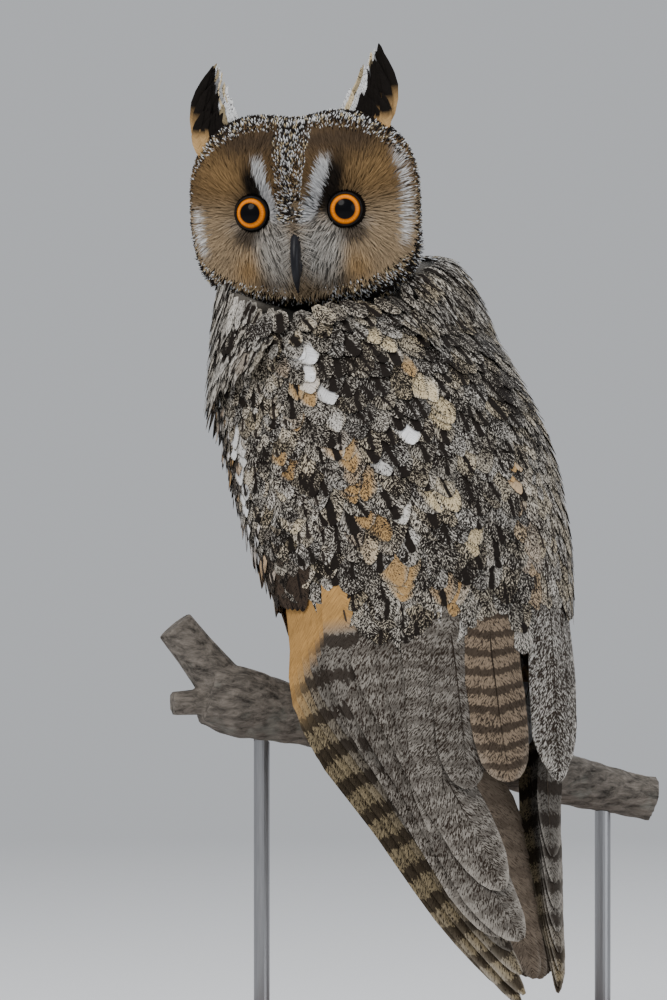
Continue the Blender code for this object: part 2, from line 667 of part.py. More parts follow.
def make_tuft(side, name, head_cutter, material):
    """An ear tuft: a root on the crown and a fan of feathers that close to a point, the outer ones behind."""
    out, up, steep, reach, lean_out, bow = TUFTS[side]
    base = in_head(side * out, TUFT_FORWARD, up)
    shape = bmesh.new()
    bmesh.ops.create_uvsphere(shape, u_segments=14, v_segments=8, radius=1)
    ball = np.array([v.co for v in shape.verts]) * TUFT_ROOT
    faces = [tuple(v.index for v in face.verts) for face in shape.faces]
    shape.free()
    slope = unit(HEAD_RIGHT * side - HEAD_UP * steep)
    upright = unit(HEAD_UP + HEAD_RIGHT * side * steep)
    points = base + ball[:, :1] * slope + ball[:, 1:2] * HEAD_FORWARD + ball[:, 2:] * upright
    tuft = make_object(name, points, faces, material)
    feathers = new_collection(name + "_feathers")
    rise = unit(HEAD_UP + side * HEAD_RIGHT * lean_out - HEAD_FORWARD * 0.12)
    for i in range(TUFT_FEATHERS):
        t = i / (TUFT_FEATHERS - 1)
        start = base + slope * TUFT_SPREAD * (1 - 2 * t) + HEAD_FORWARD * (1.9 - 1.0 * i)
        length = reach * (0.70 + 0.30 * math.sin(math.pi * (0.25 + 0.5 * t)))
        share = VANE_PLACES[:, None]
        closing = -slope * 0.8 * TUFT_SPREAD * (1 - 2 * t) * share**1.5
        closing = closing + side * HEAD_RIGHT * bow * np.sin(share * math.pi)
        path = start + rise * length * share + closing
        blade = vane(path, np.broadcast_to(HEAD_FORWARD, path.shape), 2.9, 2.9, side, -4.0)
        make_object(f"{name}_{i}", blade, vane_faces(5), collection=feathers)
    fuse(tuft, feathers)
    cut(tuft, head_cutter)
    return tuft


# The perch, feet and stand


def perch_radius(along):
    share = (along - PERCH_LEFT) / (PERCH_RIGHT - PERCH_LEFT)
    taper = PERCH_LEFT_RADIUS + (PERCH_RIGHT_RADIUS - PERCH_LEFT_RADIUS) * share
    knuckle = 2.0 * np.exp(-(((along + 56) / 11) ** 2)) + 0.5 * np.sin(along * 0.11)
    return taper + knuckle


def perch_tube(name, extra, columns, material=None):
    """The branch as a slightly uneven tapering tube, or a copy that is larger by extra."""
    along = np.linspace(PERCH_LEFT, PERCH_RIGHT, 13)
    along[[0, -1]] += np.array([-1, 1]) * extra
    turn = np.linspace(0, 2 * math.pi, columns, endpoint=False)
    a, w = np.meshgrid(along, turn, indexing="ij")
    radius = perch_radius(a) * (1 + 0.03 * np.sin(3 * w + a * 0.05) + 0.02 * np.sin(5 * w - a * 0.09)) + extra
    points = PERCH_CENTRE + a[..., None] * PERCH_ALONG
    points = points + radius[..., None] * (np.cos(w)[..., None] * PERCH_TOP + np.sin(w)[..., None] * PERCH_FRONT)
    return make_object(name, points, tube_faces(len(along), columns), material, None if material else cutters)


def make_perch(material):
    perch = perch_tube("perch", 0.0, 14, material)
    stubs = new_collection("perch_stubs")
    fork = PERCH_CENTRE + PERCH_ALONG * -57
    upper = fork + np.outer(np.array([0, 10, 24, 36]), unit(np.array([-0.62, -0.1, 0.78])))
    tube("stub_upper", upper, [8.6, 8.8, 7.6, 7.2], 12, upright=PERCH_FRONT, collection=stubs)
    lower = fork + np.outer(np.array([0, 12, 24]), unit(np.array([-0.98, -0.28, -0.05])))
    tube("stub_lower", lower, [5.4, 4.9, 4.4], 10, collection=stubs)
    twig = PERCH_CENTRE + PERCH_ALONG * 72 + np.outer(np.array([0, 11, 15]), unit(0.4 * PERCH_ALONG + PERCH_FRONT))
    tube("stub_twig", twig, [3.4, 2.8, 2.6], 8, collection=stubs)
    fuse(perch, stubs)
    return perch


def round_perch(along, angle, out):
    """A point so far out from the branch's bark. The angle runs from its top, 0, over the front."""
    a = np.radians(angle)[..., None]
    centre = PERCH_CENTRE + np.asarray(along)[..., None] * PERCH_ALONG
    radius = (perch_radius(np.asarray(along)) * 1.04 + out)[..., None]
    return centre + radius * (np.cos(a) * PERCH_TOP + np.sin(a) * PERCH_FRONT)


TOE_SPREAD = ((-6.5, -9.0, 1), (1.5, 3.0, 1), (8.0, 14.0, 1), (0.5, 1.5, -1))


def make_leg(side, name, torso_cutter, material):
    top = in_body(128, side * 17, -16)
    ankle = round_perch(np.array(side * FOOT_SPREAD), np.array(4.0), 8.0)
    path = np.array([top, top * 0.55 + ankle * 0.45, ankle])
    leg = tube(name, path, [11.5, 10.5, 6.8], 16, upright=PERCH_FRONT, material=material)
    cut(leg, torso_cutter)
    return leg


def make_foot(side, name, leg, torso_cutter, perch_cutter, material, claw_material):
    """A feathered foot whose toes hold the branch, three over the front and the hind one over the back."""
    middle = side * FOOT_SPREAD
    centre = round_perch(np.array(middle), np.array(2.0), 3.6)
    path = centre + np.outer(np.array([-4.0, -1.0, 2.5, 6.0]), PERCH_TOP)
    foot = tube(name, path, [4.5, 7.2, 7.4, 6.2], 14, upright=PERCH_FRONT, material=material)
    toes = new_collection(name + "_toes")
    for i, (start, end, way) in enumerate(TOE_SPREAD):
        share = np.linspace(0, 1, 5)
        angle = way * (4 + 92 * share)
        along = middle + side * (start + (end - start) * share)
        radii = np.interp(share, [0, 0.5, 1], [3.7, 3.5, 2.7])
        tube(f"toe_{i}", round_perch(along, angle, radii + 0.1), radii, 8, upright=PERCH_ALONG, collection=toes)
        share = np.linspace(0, 1, 5)
        claw_angle = way * (99 + 48 * share)
        claw_along = along[-1] + side * 0.5 * share
        claw_radii = np.array([1.75, 1.65, 1.25, 0.8, 0.25])
        claw_path = round_perch(claw_along, claw_angle, claw_radii + 0.9 + 1.6 * np.sin(share * math.pi) * 0.8)
        tube(f"{name}_claw_{i + 1}", claw_path, claw_radii, 6, upright=PERCH_ALONG, material=claw_material)
    fuse(foot, toes)
    cut(foot, perch_cutter, torso_cutter, grown(leg, GAP))
    return foot


def make_stand(perch_cutter, wood, steel):
    """A flat base with rounded edges, and two rods up to the branch."""
    bpy.ops.mesh.primitive_cube_add(size=1, location=(0, 0, BASE_SIZE[2] / 2 * MM))
    base = bpy.context.object
    base.name = "stand_base"
    base.data.transform(Matrix.Diagonal((*(Vector(BASE_SIZE) * MM), 1)))
    places = [vertex.co for vertex in base.data.vertices]
    corners = [e for e in base.data.edges if abs((places[e.vertices[0]] - places[e.vertices[1]]).z) > MM]
    attribute = base.data.attributes.new("bevel_weight_edge", "FLOAT", "EDGE")
    for edge in corners:
        attribute.data[edge.index].value = 1.0
    adopt(base, wood)
    rounded = base.modifiers.new("corners", "BEVEL")
    rounded.limit_method, rounded.width, rounded.segments = "WEIGHT", BASE_CORNER * MM, 6
    softened = base.modifiers.new("edges", "BEVEL")
    softened.limit_method, softened.width, softened.segments = "ANGLE", BASE_EDGE * MM, 2
    softened.angle_limit = math.radians(50)
    for name, along in zip(("stand_rod_left", "stand_rod_right"), ROD_ALONG_PERCH):
        top = PERCH_CENTRE + PERCH_ALONG * along
        bottom = BASE_SIZE[2] + GAP
        bpy.ops.mesh.primitive_cylinder_add(
            vertices=20,
            radius=ROD_RADIUS * MM,
            depth=(top[2] - bottom) * MM,
            location=(top[0] * MM, top[1] * MM, (top[2] + bottom) / 2 * MM),
        )
        rod = bpy.context.object
        rod.name = name
        adopt(rod, steel)
        cut(rod, perch_cutter)


def main():
    feathers = make_material("body_feathers", PLUMAGE, 0.85)
    flight = make_material("flight_feathers", DARK_PLUMAGE, 0.7)
    face = make_material("face_feathers", FACE_PLUMAGE, 0.9)
    tufts = make_material("tuft_feathers", TUFT_PLUMAGE, 0.8)
    legs = make_material("leg_feathers", BUFF_PLUMAGE, 0.9)
    iris = make_material("eye", IRIS, 0.1)
    horn = make_material("horn", HORN, 0.35)
    bark = make_material("bark", BARK, 0.9)
    wood = make_material("stand_wood", OAK, 0.4)
    steel = make_material("stand_steel", STEEL, 0.35, 1.0)

    head = make_head(face)
    eyes = [make_eye(side, name, iris) for side, name in ((-1, "eye_left"), (1, "eye_right"))]
    bpy.context.view_layer.update()
    for eye in eyes:
        eye_cutter = grown(eye, GAP)
        eye_cutter.matrix_world = eye.matrix_world
        cut(head, eye_cutter)
    head_cutter = grown(head_ball("head_core", collection=cutters), GAP)
    make_bill(head_cutter, horn)
    make_tuft(-1, "ear_tuft_left", head_cutter, tufts)
    make_tuft(1, "ear_tuft_right", head_cutter, tufts)

    torso = make_torso(feathers)
    torso_cutter = grown(torso, GAP)
    neck = make_neck(feathers)
    cut(neck, head_cutter)
    cut(torso, head_cutter)
    make_tail(flight)
    make_arm(-1, "wing_left_arm", flight, LEFT_SECONDARIES)
    make_hand(-1, "wing_left_hand", flight, LEFT_PRIMARIES)
    make_arm(1, "wing_right_arm", flight, RIGHT_SECONDARIES)
    make_hand(1, "wing_right_hand", flight, RIGHT_PRIMARIES)

    perch = make_perch(bark)
    perch_cutter = grown(perch, GAP + 0.05)
    for side, word in ((-1, "left"), (1, "right")):
        leg = make_leg(side, f"leg_{word}", torso_cutter, legs)
        make_foot(side, f"foot_{word}", leg, torso_cutter, perch_cutter, legs, horn)
    make_stand(perch_cutter, wood, steel)
    for cutter in list(cutters.objects):
        cutter.hide_render = True


for old in list(bpy.data.objects):
    bpy.data.objects.remove(old)
owl_parts = new_collection("long_eared_owl")
cutters = new_collection("cutters", shown=False)
main()
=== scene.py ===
"""Dresses a life-size long-eared owl on its perch: skin, feathers, eyes, bill, claws, bark, stand and studio.

Sizes in the shape functions are in millimetres, in the bird's own frame; a mesh is made in metres.
"""

import math

import bpy
import numpy as np
from bpy.props import FloatProperty, FloatVectorProperty, PointerProperty
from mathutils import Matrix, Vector


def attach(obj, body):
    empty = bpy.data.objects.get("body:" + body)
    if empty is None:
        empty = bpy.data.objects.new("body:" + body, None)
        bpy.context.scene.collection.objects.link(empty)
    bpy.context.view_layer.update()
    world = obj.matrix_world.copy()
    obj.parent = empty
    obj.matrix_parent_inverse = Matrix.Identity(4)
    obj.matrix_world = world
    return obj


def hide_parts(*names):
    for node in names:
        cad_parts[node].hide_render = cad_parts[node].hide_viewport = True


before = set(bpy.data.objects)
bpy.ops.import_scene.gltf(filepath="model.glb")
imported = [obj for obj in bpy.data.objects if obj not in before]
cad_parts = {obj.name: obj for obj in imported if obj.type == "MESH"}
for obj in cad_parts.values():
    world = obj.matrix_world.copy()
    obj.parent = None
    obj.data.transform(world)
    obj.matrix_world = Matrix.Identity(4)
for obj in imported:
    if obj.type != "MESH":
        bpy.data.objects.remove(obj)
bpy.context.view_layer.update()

bl_info = {
    "name": "Long-eared owl dresser",
    "version": (1, 0, 0),
    "blender": (4, 5, 0),
    "location": "View3D > Sidebar > Owl",
    "description": "Feathers, eyes, bill, perch and stand of a life-size long-eared owl",
    "category": "Object",
}

MM = 0.001
CIRCLE, TURN = (0, 360), (0, 2 * math.pi)
HALF_CIRCLES = (-180, 180)
BODY_TURN, BODY_LEAN = math.radians(36), math.radians(22)
NAPE = np.array([-35.6, 32.0, 281.0])
AXIS_BACK, LAYER_FLATNESS = 5.0, 0.75
# Distance below the nape, half width, depth of the back, depth of the belly, shift to the right
OUTLINE = np.array(
    [
        (-14, 44, 32, 33, -2), (0, 52, 36, 36, -3), (12, 57.5, 41, 40, -2.5), (25, 60, 45.5, 43, -1),
        (45, 63, 51, 46, 2), (70, 66, 54, 47, 4.8), (95, 65.5, 54, 44, 5.6), (120, 63, 52, 34, 5.2),
        (140, 61, 47, 20, 3), (158, 59, 42, 14, 0), (178, 52, 36, 9, 0), (205, 41, 29, 8, 2.5),
        (225, 36, 27, 8, 5), (248, 30, 24, 7, 8), (268, 24, 22, 6, 12), (290, 15, 18, 5, 15),
    ],
    float,
)
# Room that the folded wings take up at the body's sides: distance down and depth
WING_ROOM = np.array(
    [(0, 0), (12, 2), (30, 5), (60, 7), (100, 8.5), (118, 10), (140, 14), (160, 18), (178, 22)], float
)
NECK_TOP, NECK_SIZE, NECK_FOOT = np.array([0.0, -12.0, 18.0]), np.array([41.0, 24.0, 0.0]), 27.0
CHIN_ANGLE, CHIN_SPREAD, CHIN_DIP, CHIN_FLATNESS = -36.0, 50.0, 16.0, 1.3
HEAD_OFFSET = np.array([-8.25, -22.0, 35.4])
HEAD_TURN, HEAD_ROLL = math.radians(10), math.radians(2.6)
DISC_HALF_WIDTH, DISC_TOP, DISC_BOTTOM, DISC_SQUARENESS = 43.5, 36.5, 38.0, 2.7
RIM_DEPTH, FACE_BULGE, HEAD_BACK = 8.0, 19.0, 44.0
EYE_PLACE, EYE_RADIUS, EYE_TILT, CORNEA, LID_RADIUS = np.array([17.0, 15.6, -2.0]), 8.5, 0.14, 0.55, 5.85
PERCH_OFFSET, PERCH_DIRECTION = np.array([17.8, -24.5, -163.0]), np.array([1.0, 0.249, -0.246])
PERCH_LEFT, PERCH_RIGHT, PERCH_LEFT_RADIUS, PERCH_RIGHT_RADIUS = -68.0, 110.0, 11.4, 8.7
FOOT_SPREAD = 19.0
SIDES = ((-1, "left"), (1, "right"))
# Each ear tuft: how far out and up on the head, how steep its row of roots, its reach, lean and bow
TUFTS = {-1: (31.0, 29.0, 0.85, 25.5, 0.09, 4.2), 1: (21.8, 31.0, 0.55, 29.5, 0.30, 4.4)}
# Each toe: how far to the side its root and its tip lie, and whether it goes over the branch's front or back
TOE_SPREAD = ((-6.5, -9.0, 1), (1.5, 3.0, 1), (8.0, 14.0, 1), (0.5, 1.5, -1))


def unit(vector):
    """The same direction with length 1."""
    return vector / np.linalg.norm(vector, axis=-1, keepdims=True)


UP = np.array([0.0, 0.0, 1.0])
RIGHT = np.array([math.cos(BODY_TURN), math.sin(BODY_TURN), 0.0])
FACING = np.array([-math.sin(BODY_TURN), math.cos(BODY_TURN), 0.0])
DOWN = -math.cos(BODY_LEAN) * UP - math.sin(BODY_LEAN) * FACING
BACK = math.sin(BODY_LEAN) * UP - math.cos(BODY_LEAN) * FACING
PERCH_CENTRE = NAPE + PERCH_OFFSET
PERCH_ALONG = unit(PERCH_DIRECTION)
PERCH_TOP = unit(UP - PERCH_ALONG * PERCH_ALONG[2])
PERCH_FRONT = np.cross(PERCH_TOP, PERCH_ALONG)


def head_axes():
    """The head's right, forward and up: turned about the vertical, then rolled."""
    forward = np.array([-math.sin(HEAD_TURN), -math.cos(HEAD_TURN), 0])
    right = np.cross(UP, forward)
    c, s = math.cos(HEAD_ROLL), math.sin(HEAD_ROLL)
    return c * right + s * UP, forward, c * UP - s * right


HEAD_RIGHT, HEAD_FORWARD, HEAD_UP = head_axes()
HEAD_CENTRE = NAPE + HEAD_OFFSET


# Numbers


def smooth(stations, column, place):
    """Cubic curve through one column's values, with slopes from their neighbours."""
    xs, ys = stations[:, 0], stations[:, column]
    slopes = np.gradient(ys, xs)
    place = np.clip(np.asarray(place, float), xs[0], xs[-1])
    i = np.clip(np.searchsorted(xs, place) - 1, 0, len(xs) - 2)
    step = xs[i + 1] - xs[i]
    t = (place - xs[i]) / step
    start = (2 * t**3 - 3 * t**2 + 1) * ys[i] + (t**3 - 2 * t**2 + t) * step * slopes[i]
    return start + (3 * t**2 - 2 * t**3) * ys[i + 1] + (t**3 - t**2) * step * slopes[i + 1]


def ease(x):
    """0 below 0, 1 above 1, and 3x^2 - 2x^3 between."""
    x = np.clip(x, 0, 1)
    return x * x * (3 - 2 * x)


def bell(distance, width):
    """1 at no distance and falling off as e to the minus square of distance over width."""
    return np.exp(-((distance / width) ** 2))


def dot(a, b):
    """The scalar product along the last axis."""
    return (a * b).sum(-1)


def around(turn, across, over):
    """One direction by the cosine of an angle and another by its sine."""
    return np.cos(turn)[..., None] * across + np.sin(turn)[..., None] * over


def between(place, stops, rows):
    """Rows of three values, drawn along straight lines between the stops that they belong to."""
    return np.stack([np.interp(place, stops, column) for column in rows.T], -1)


def ring_grid(span, rows, turns, columns):
    """Rows along a span by columns round a turn, whose end isn't repeated."""
    return np.meshgrid(np.linspace(*span, rows), np.linspace(*turns, columns, endpoint=False), indexing="ij")


def picked(keep, *arrays):
    """The kept entries of each array."""
    return [values[keep] for values in arrays]


def half_width(down):
    """The outline's half width."""
    return smooth(OUTLINE, 1, down)


def middle_line(down):
    """How far right of the nape the outline's middle lies."""
    return smooth(OUTLINE, 4, down)


def in_body(down, right, back):
    """A place so far down, right and back from the nape, along the body's own axes."""
    down, right, back = (np.asarray(v, float)[..., None] for v in (down, right, back))
    return NAPE + down * DOWN + right * RIGHT + back * BACK


def in_head(right, forward, up):
    """A place so far right, forward and up from the head's middle, along the head's own axes."""
    right, forward, up = (np.asarray(v, float)[..., None] for v in (right, forward, up))
    return HEAD_CENTRE + right * HEAD_RIGHT + forward * HEAD_FORWARD + up * HEAD_UP


# Surfaces, each a function of two parameters


def depth_of(down, theta):
    """How deep the outline is at the back or, beyond 90 degrees, at the belly."""
    return np.where(np.abs(theta) < 90, smooth(OUTLINE, 2, down), smooth(OUTLINE, 3, down))


def body_point(down, theta):
    """An oval ring round the axis at each distance down: right by sine and back by cosine of theta in degrees."""
    a = np.radians(theta)
    right = middle_line(down) + half_width(down) * np.sin(a)
    return in_body(down, right, AXIS_BACK + depth_of(down, theta) * np.cos(a))


def body_place(points):
    """The distance down and the angle theta of points on or near the body, the inverse of body_point."""
    offset = points - NAPE
    down = dot(offset, DOWN)
    across = (dot(offset, RIGHT) - middle_line(down)) / half_width(down)
    back = dot(offset, BACK) - AXIS_BACK
    back = back / np.where(back > 0, smooth(OUTLINE, 2, down), smooth(OUTLINE, 3, down))
    return down, np.degrees(np.arctan2(across, back))


def theta_at(down, right):
    """The angle at which the outline lies so far to the right of the body's middle."""
    share = (right - middle_line(down)) / half_width(down)
    return np.degrees(np.arcsin(np.clip(share, -0.97, 0.97)))


def layer_direction(down, theta):
    """Out of the body square to its length, turning to straight back where the wings lie on the tail."""
    a = np.radians(theta)
    sideways, backwards = np.sin(a) / half_width(down), np.cos(a) / depth_of(down, theta)
    out = sideways[..., None] * RIGHT + backwards[..., None] * BACK
    flat = LAYER_FLATNESS * ease((down - 120) / 70)[..., None]
    return unit(unit(out) * (1 - flat) + BACK * flat)


def neck_point(share, theta):
    """From a level ring inside the head at 0, which dips under the chin, bowed out to the body's ring at 1."""
    level_back = unit(BACK - UP * BACK[2])
    chin = bell(theta - CHIN_ANGLE, CHIN_SPREAD)
    top = NAPE + NECK_TOP + NECK_SIZE * around(np.radians(theta), level_back, RIGHT)
    top[..., 2] -= CHIN_DIP * chin
    foot = body_point(np.full_like(theta, NECK_FOOT), theta)
    share = np.asarray(share, float)
    point = top + (foot - top) * share[..., None]
    point[..., 2] = top[..., 2] + (foot - top)[..., 2] * np.clip(share, 0, None) ** (2 - CHIN_FLATNESS * chin)
    return point


def rim_share(right, up):
    """How far out a place lies on the facial disc: (|x/a|^n + |y/b|^n)^(1/n), which is 1 on its rim.

    The crown dips a little between the ear tufts.
    """
    height = np.where(up > 0, DISC_TOP * (1 - 0.09 * bell(np.arctan2(right, up) + 0.06, 0.34)), DISC_BOTTOM)
    power = DISC_SQUARENESS
    return (np.abs(right / DISC_HALF_WIDTH) ** power + np.abs(up / height) ** power) ** (1 / power)


def disc_rim(turn):
    """The facial disc's edge at an angle from the head's right, a rounded oblong."""
    c, s = np.cos(turn), np.sin(turn)
    reach = 1 / rim_share(c, s)
    return reach * c, reach * s


def face_depth(right, up, share):
    """A dome, dished round each eye, with a ridge from crown to bill and a raised rim."""
    dome = RIM_DEPTH + FACE_BULGE * (1 - share**2.3)
    eye = np.hypot(np.abs(right) - EYE_PLACE[0] - 1, up - EYE_PLACE[2])
    dish = -4.6 * bell(eye, 12.5)
    ridge = 5.5 * bell(right, 6.0) * ease((up + 34) / 14) * (1 - ease((up - 14) / 18))
    return dome + dish + ridge + 1.8 * bell(share - 0.91, 0.06)


def head_point(polar, turn):
    """Rings from the face's middle at polar 0, over the disc's rim at 1, to the back of the head at 2."""
    polar, turn = np.broadcast_arrays(np.asarray(polar, float), np.asarray(turn, float))
    turn = np.where((polar < 0) | (polar > 2), turn + math.pi, turn)
    polar = np.abs(polar)
    polar = np.where(polar > 2, 4 - polar, polar)
    rim_right, rim_up = disc_rim(turn)
    front = np.clip(polar, 0, 1)
    behind = np.clip(polar - 1, 0, 1) * math.pi / 2
    narrowing = np.where(polar > 1, np.clip(np.cos(behind), 0, 1) ** 0.8, front)
    right, up = rim_right * narrowing, rim_up * narrowing
    forward = np.where(polar > 1, RIM_DEPTH - HEAD_BACK * np.sin(behind), face_depth(right, up, front))
    return in_head(right, forward, up)


def head_place(points):
    """How far right, forward and up points lie in the head's frame."""
    offset = points - HEAD_CENTRE
    return dot(offset, HEAD_RIGHT), dot(offset, HEAD_FORWARD), dot(offset, HEAD_UP)


def over_face(points):
    """Whether points lie in front of the face and inside its rim."""
    right, forward, up = head_place(points)
    share = rim_share(right, up)
    return (share < 0.95) & (forward > face_depth(right, up, np.minimum(share, 1)) - 0.3)


def perch_radius(along):
    """A straight taper, swollen at the left end and waved a little along it."""
    share = (along - PERCH_LEFT) / (PERCH_RIGHT - PERCH_LEFT)
    taper = PERCH_LEFT_RADIUS + (PERCH_RIGHT_RADIUS - PERCH_LEFT_RADIUS) * share
    return taper + 2.0 * bell(along + 56, 11) + 0.5 * np.sin(along * 0.11)


def round_perch(along, angle, out):
    """A point so far out from the bark. The angle in degrees runs from the branch's top over its front."""
    along = np.asarray(along, float)
    centre = PERCH_CENTRE + along[..., None] * PERCH_ALONG
    radius = (perch_radius(along) * 1.04 + out)[..., None]
    return centre + radius * around(np.radians(angle), PERCH_TOP, PERCH_FRONT)


def path_frames(path, upright):
    """For each point of a path: the way along it, and two directions square to that."""
    along = unit(np.gradient(path, axis=0))
    across = unit(np.cross(along, np.broadcast_to(upright, along.shape)))
    return along, across, np.cross(across, along)


def tube_surface(path, radii, upright):
    """A surface round a path: p runs 0 to 1 along it, q round it in degrees, with its radius drawn from radii."""
    path, radii = np.asarray(path, float), np.asarray(radii, float)
    _, across, over = path_frames(path, upright)
    stops = np.linspace(0, 1, len(path))

    def point(p, q):
        p, q = np.broadcast_arrays(np.asarray(p, float), np.radians(q))
        beyond = (np.clip(p - 1, 0, None) + np.clip(p, None, 0))[..., None] * (path[-1] - path[0])
        radius = np.interp(p, stops, radii)[..., None]
        ring = around(q, between(p, stops, across), between(p, stops, over))
        return between(p, stops, path) + beyond + radius * ring

    return point


class Surface:
    """A surface to grow feathers on: its point function, the middle that it faces away from, and its unwrap."""

    def __init__(self, point, middle, p_span, q_span):
        self.point, self.middle, self.p_span, self.q_span = point, middle, p_span, q_span
        self.e_p, self.e_q = (p_span[1] - p_span[0]) * 1e-3, (q_span[1] - q_span[0]) * 1e-3

    def frame(self, p, q):
        """The steps along p and q by central differences, and the outward unit normal, their cross product."""
        dp = (self.point(p + self.e_p, q) - self.point(p - self.e_p, q)) / (2 * self.e_p)
        dq = (self.point(p, q + self.e_q) - self.point(p, q - self.e_q)) / (2 * self.e_q)
        normal = np.cross(dp, dq)
        normal /= np.maximum(np.linalg.norm(normal, axis=-1, keepdims=True), 1e-9)
        way = np.where(dot(normal, self.point(p, q) - self.middle(p, q)) < 0, -1.0, 1.0)
        return dp, dq, normal * way[..., None]

    def unwrap(self, p, q):
        """Both parameters as shares of their spans."""
        u = (q - self.q_span[0]) / (self.q_span[1] - self.q_span[0])
        v = (p - self.p_span[0]) / (self.p_span[1] - self.p_span[0])
        return np.stack([0.02 + 0.96 * (u % 1.0), 0.02 + 0.96 * np.clip(v, 0, 1)], -1)


def body_middle(down, theta):
    """The axis that the outline's rings lie round."""
    return in_body(down, middle_line(down), np.full_like(down, AXIS_BACK))


def fixed(place):
    """A middle that is one place for every point."""
    return lambda p, q: place + 0 * np.asarray(p)[..., None]


BODY = Surface(body_point, body_middle, (-14, 290), HALF_CIRCLES)
NECK = Surface(neck_point, fixed(NAPE + np.array([0.0, -8.0, -5.0])), (0, 1), HALF_CIRCLES)
HEAD = Surface(head_point, fixed(HEAD_CENTRE), (0, 2), TURN)


# Feathers


OVAL = (np.array([0, 0.3, 0.6, 0.82, 0.95, 1.0]), np.array([0.4, 0.9, 1.0, 0.78, 0.4, 0.1]))
LOOSE = (np.array([0, 0.35, 0.7, 0.9, 1.0]), np.array([0.5, 1.0, 0.85, 0.45, 0.08]))
LOCK = (np.array([0, 0.4, 0.75, 1.0]), np.array([0.7, 1.0, 0.62, 0.06]))
QUILL = (
    np.array([0, 0.06, 0.12, 0.18, 0.24, 0.3, 0.36, 0.42, 0.5, 0.58, 0.66, 0.74, 0.81, 0.87, 0.92, 0.96, 0.985, 1.0]),
    np.array([0.3, 0.5, 0.7, 0.8, 0.88, 0.93, 0.97, 1.0, 1.0, 1.0, 1.0, 1.0, 0.98, 0.92, 0.8, 0.62, 0.4, 0.15]),
)
SHAFT = (np.array([0, 0.25, 0.5, 0.75, 1.0]), np.array([1.0, 0.9, 0.7, 0.45, 0.1]))
POINTED = (
    np.array([0, 0.12, 0.28, 0.44, 0.6, 0.74, 0.86, 0.95, 1.0]),
    np.array([0.4, 0.8, 1.0, 1.0, 0.92, 0.78, 0.56, 0.3, 0.08]),
)
PATCH = 0.003


def scatter(surface, p_span, q_span, row_gap, gap, rng, loose=0.3):
    """Places in rows along p, each row spaced evenly round q by arc length, every other row shifted by half a gap."""
    ps, qs, p, shift = [], [], p_span[0], 0.0
    q = np.linspace(*q_span, 241)
    while p < p_span[1]:
        ring = surface.point(np.full_like(q, p), q)
        run = np.concatenate([[0], np.cumsum(np.linalg.norm(np.diff(ring, axis=0), axis=1))])
        marks = np.arange(shift * gap / 2, run[-1], gap)
        ps.append(np.full(len(marks), p))
        qs.append(np.interp(marks, run, q))
        ahead = surface.point(np.full_like(q, p + surface.e_p), q)
        p += row_gap * surface.e_p / np.linalg.norm(ahead - ring, axis=1).mean()
        shift = 1 - shift
    p, q = np.concatenate(ps), np.concatenate(qs)
    dp, dq, _ = surface.frame(p, q)
    p = p + rng.uniform(-1, 1, len(p)) * loose * row_gap / np.linalg.norm(dp, axis=-1)
    q = q + rng.uniform(-1, 1, len(q)) * loose * gap / np.linalg.norm(dq, axis=-1)
    return p, q


def flow(surface, p, q, swing):
    """The way along p, turned by swing degrees towards q."""
    dp, dq, _ = surface.frame(p, q)
    a = np.radians(np.broadcast_to(swing, np.shape(p)))[..., None]
    return unit(dp) * np.cos(a) + unit(dq) * np.sin(a)


def lay(surface, p, q, heading, length, lifts, stations, bend=0.0):
    """Paths that run along a surface from their roots.

    A step of length w along the heading is turned into steps in p and q by the surface's metric; a share of the
    square of the distance goes sideways as bend. The path then rises off the surface from the first lift to the last.
    """
    dp, dq, normal = surface.frame(p, q)
    heading = unit(heading - dot(heading, normal)[..., None] * normal)
    side = np.cross(heading, normal)
    pp, pq, qq = dot(dp, dp), dot(dp, dq), dot(dq, dq)
    det = pp * qq - pq * pq + 1e-9

    def steps(way):
        a, b = dot(dp, way), dot(dq, way)
        return (qq * a - pq * b) / det, (pp * b - pq * a) / det

    hp, hq = steps(heading)
    sp, sq = steps(side)
    along = stations * np.asarray(length)[:, None]
    aside = np.broadcast_to(bend, p.shape)[:, None] * along * stations
    ps = p[:, None] + hp[:, None] * along + sp[:, None] * aside
    qs = q[:, None] + hq[:, None] * along + sq[:, None] * aside
    normals = surface.frame(ps, qs)[2]
    first, last = (np.broadcast_to(v, p.shape)[:, None] for v in lifts)
    lift = first + (last - first) * stations
    return surface.point(ps, qs) + normals * lift[..., None], normals


def outline_paths(root, tip, lift, stations, middle=None, bow=1.0):
    """Paths on the body's outline from root to tip, each a distance down and an angle, and the lift at each station.

    With a middle place, the angle is the parabola through the three; else it changes as the share to the power bow.
    """
    root, tip = np.atleast_2d(root).astype(float), np.atleast_2d(tip).astype(float)
    down = root[:, :1] + (tip[:, :1] - root[:, :1]) * stations
    if middle is None:
        theta = root[:, 1:] + (tip[:, 1:] - root[:, 1:]) * stations ** np.asarray(bow)[..., None]
    else:
        middle = np.atleast_2d(middle).astype(float)
        m = (middle[:, :1] - root[:, :1]) / (tip[:, :1] - root[:, :1])
        t = stations
        theta = (
            root[:, 1:] * (t - m) * (t - 1) / m
            + middle[:, 1:] * t * (t - 1) / (m * (m - 1))
            + tip[:, 1:] * t * (t - m) / (1 - m)
        )
    normals = layer_direction(down, theta)
    return body_point(down, theta) + normals * lift[..., None], normals


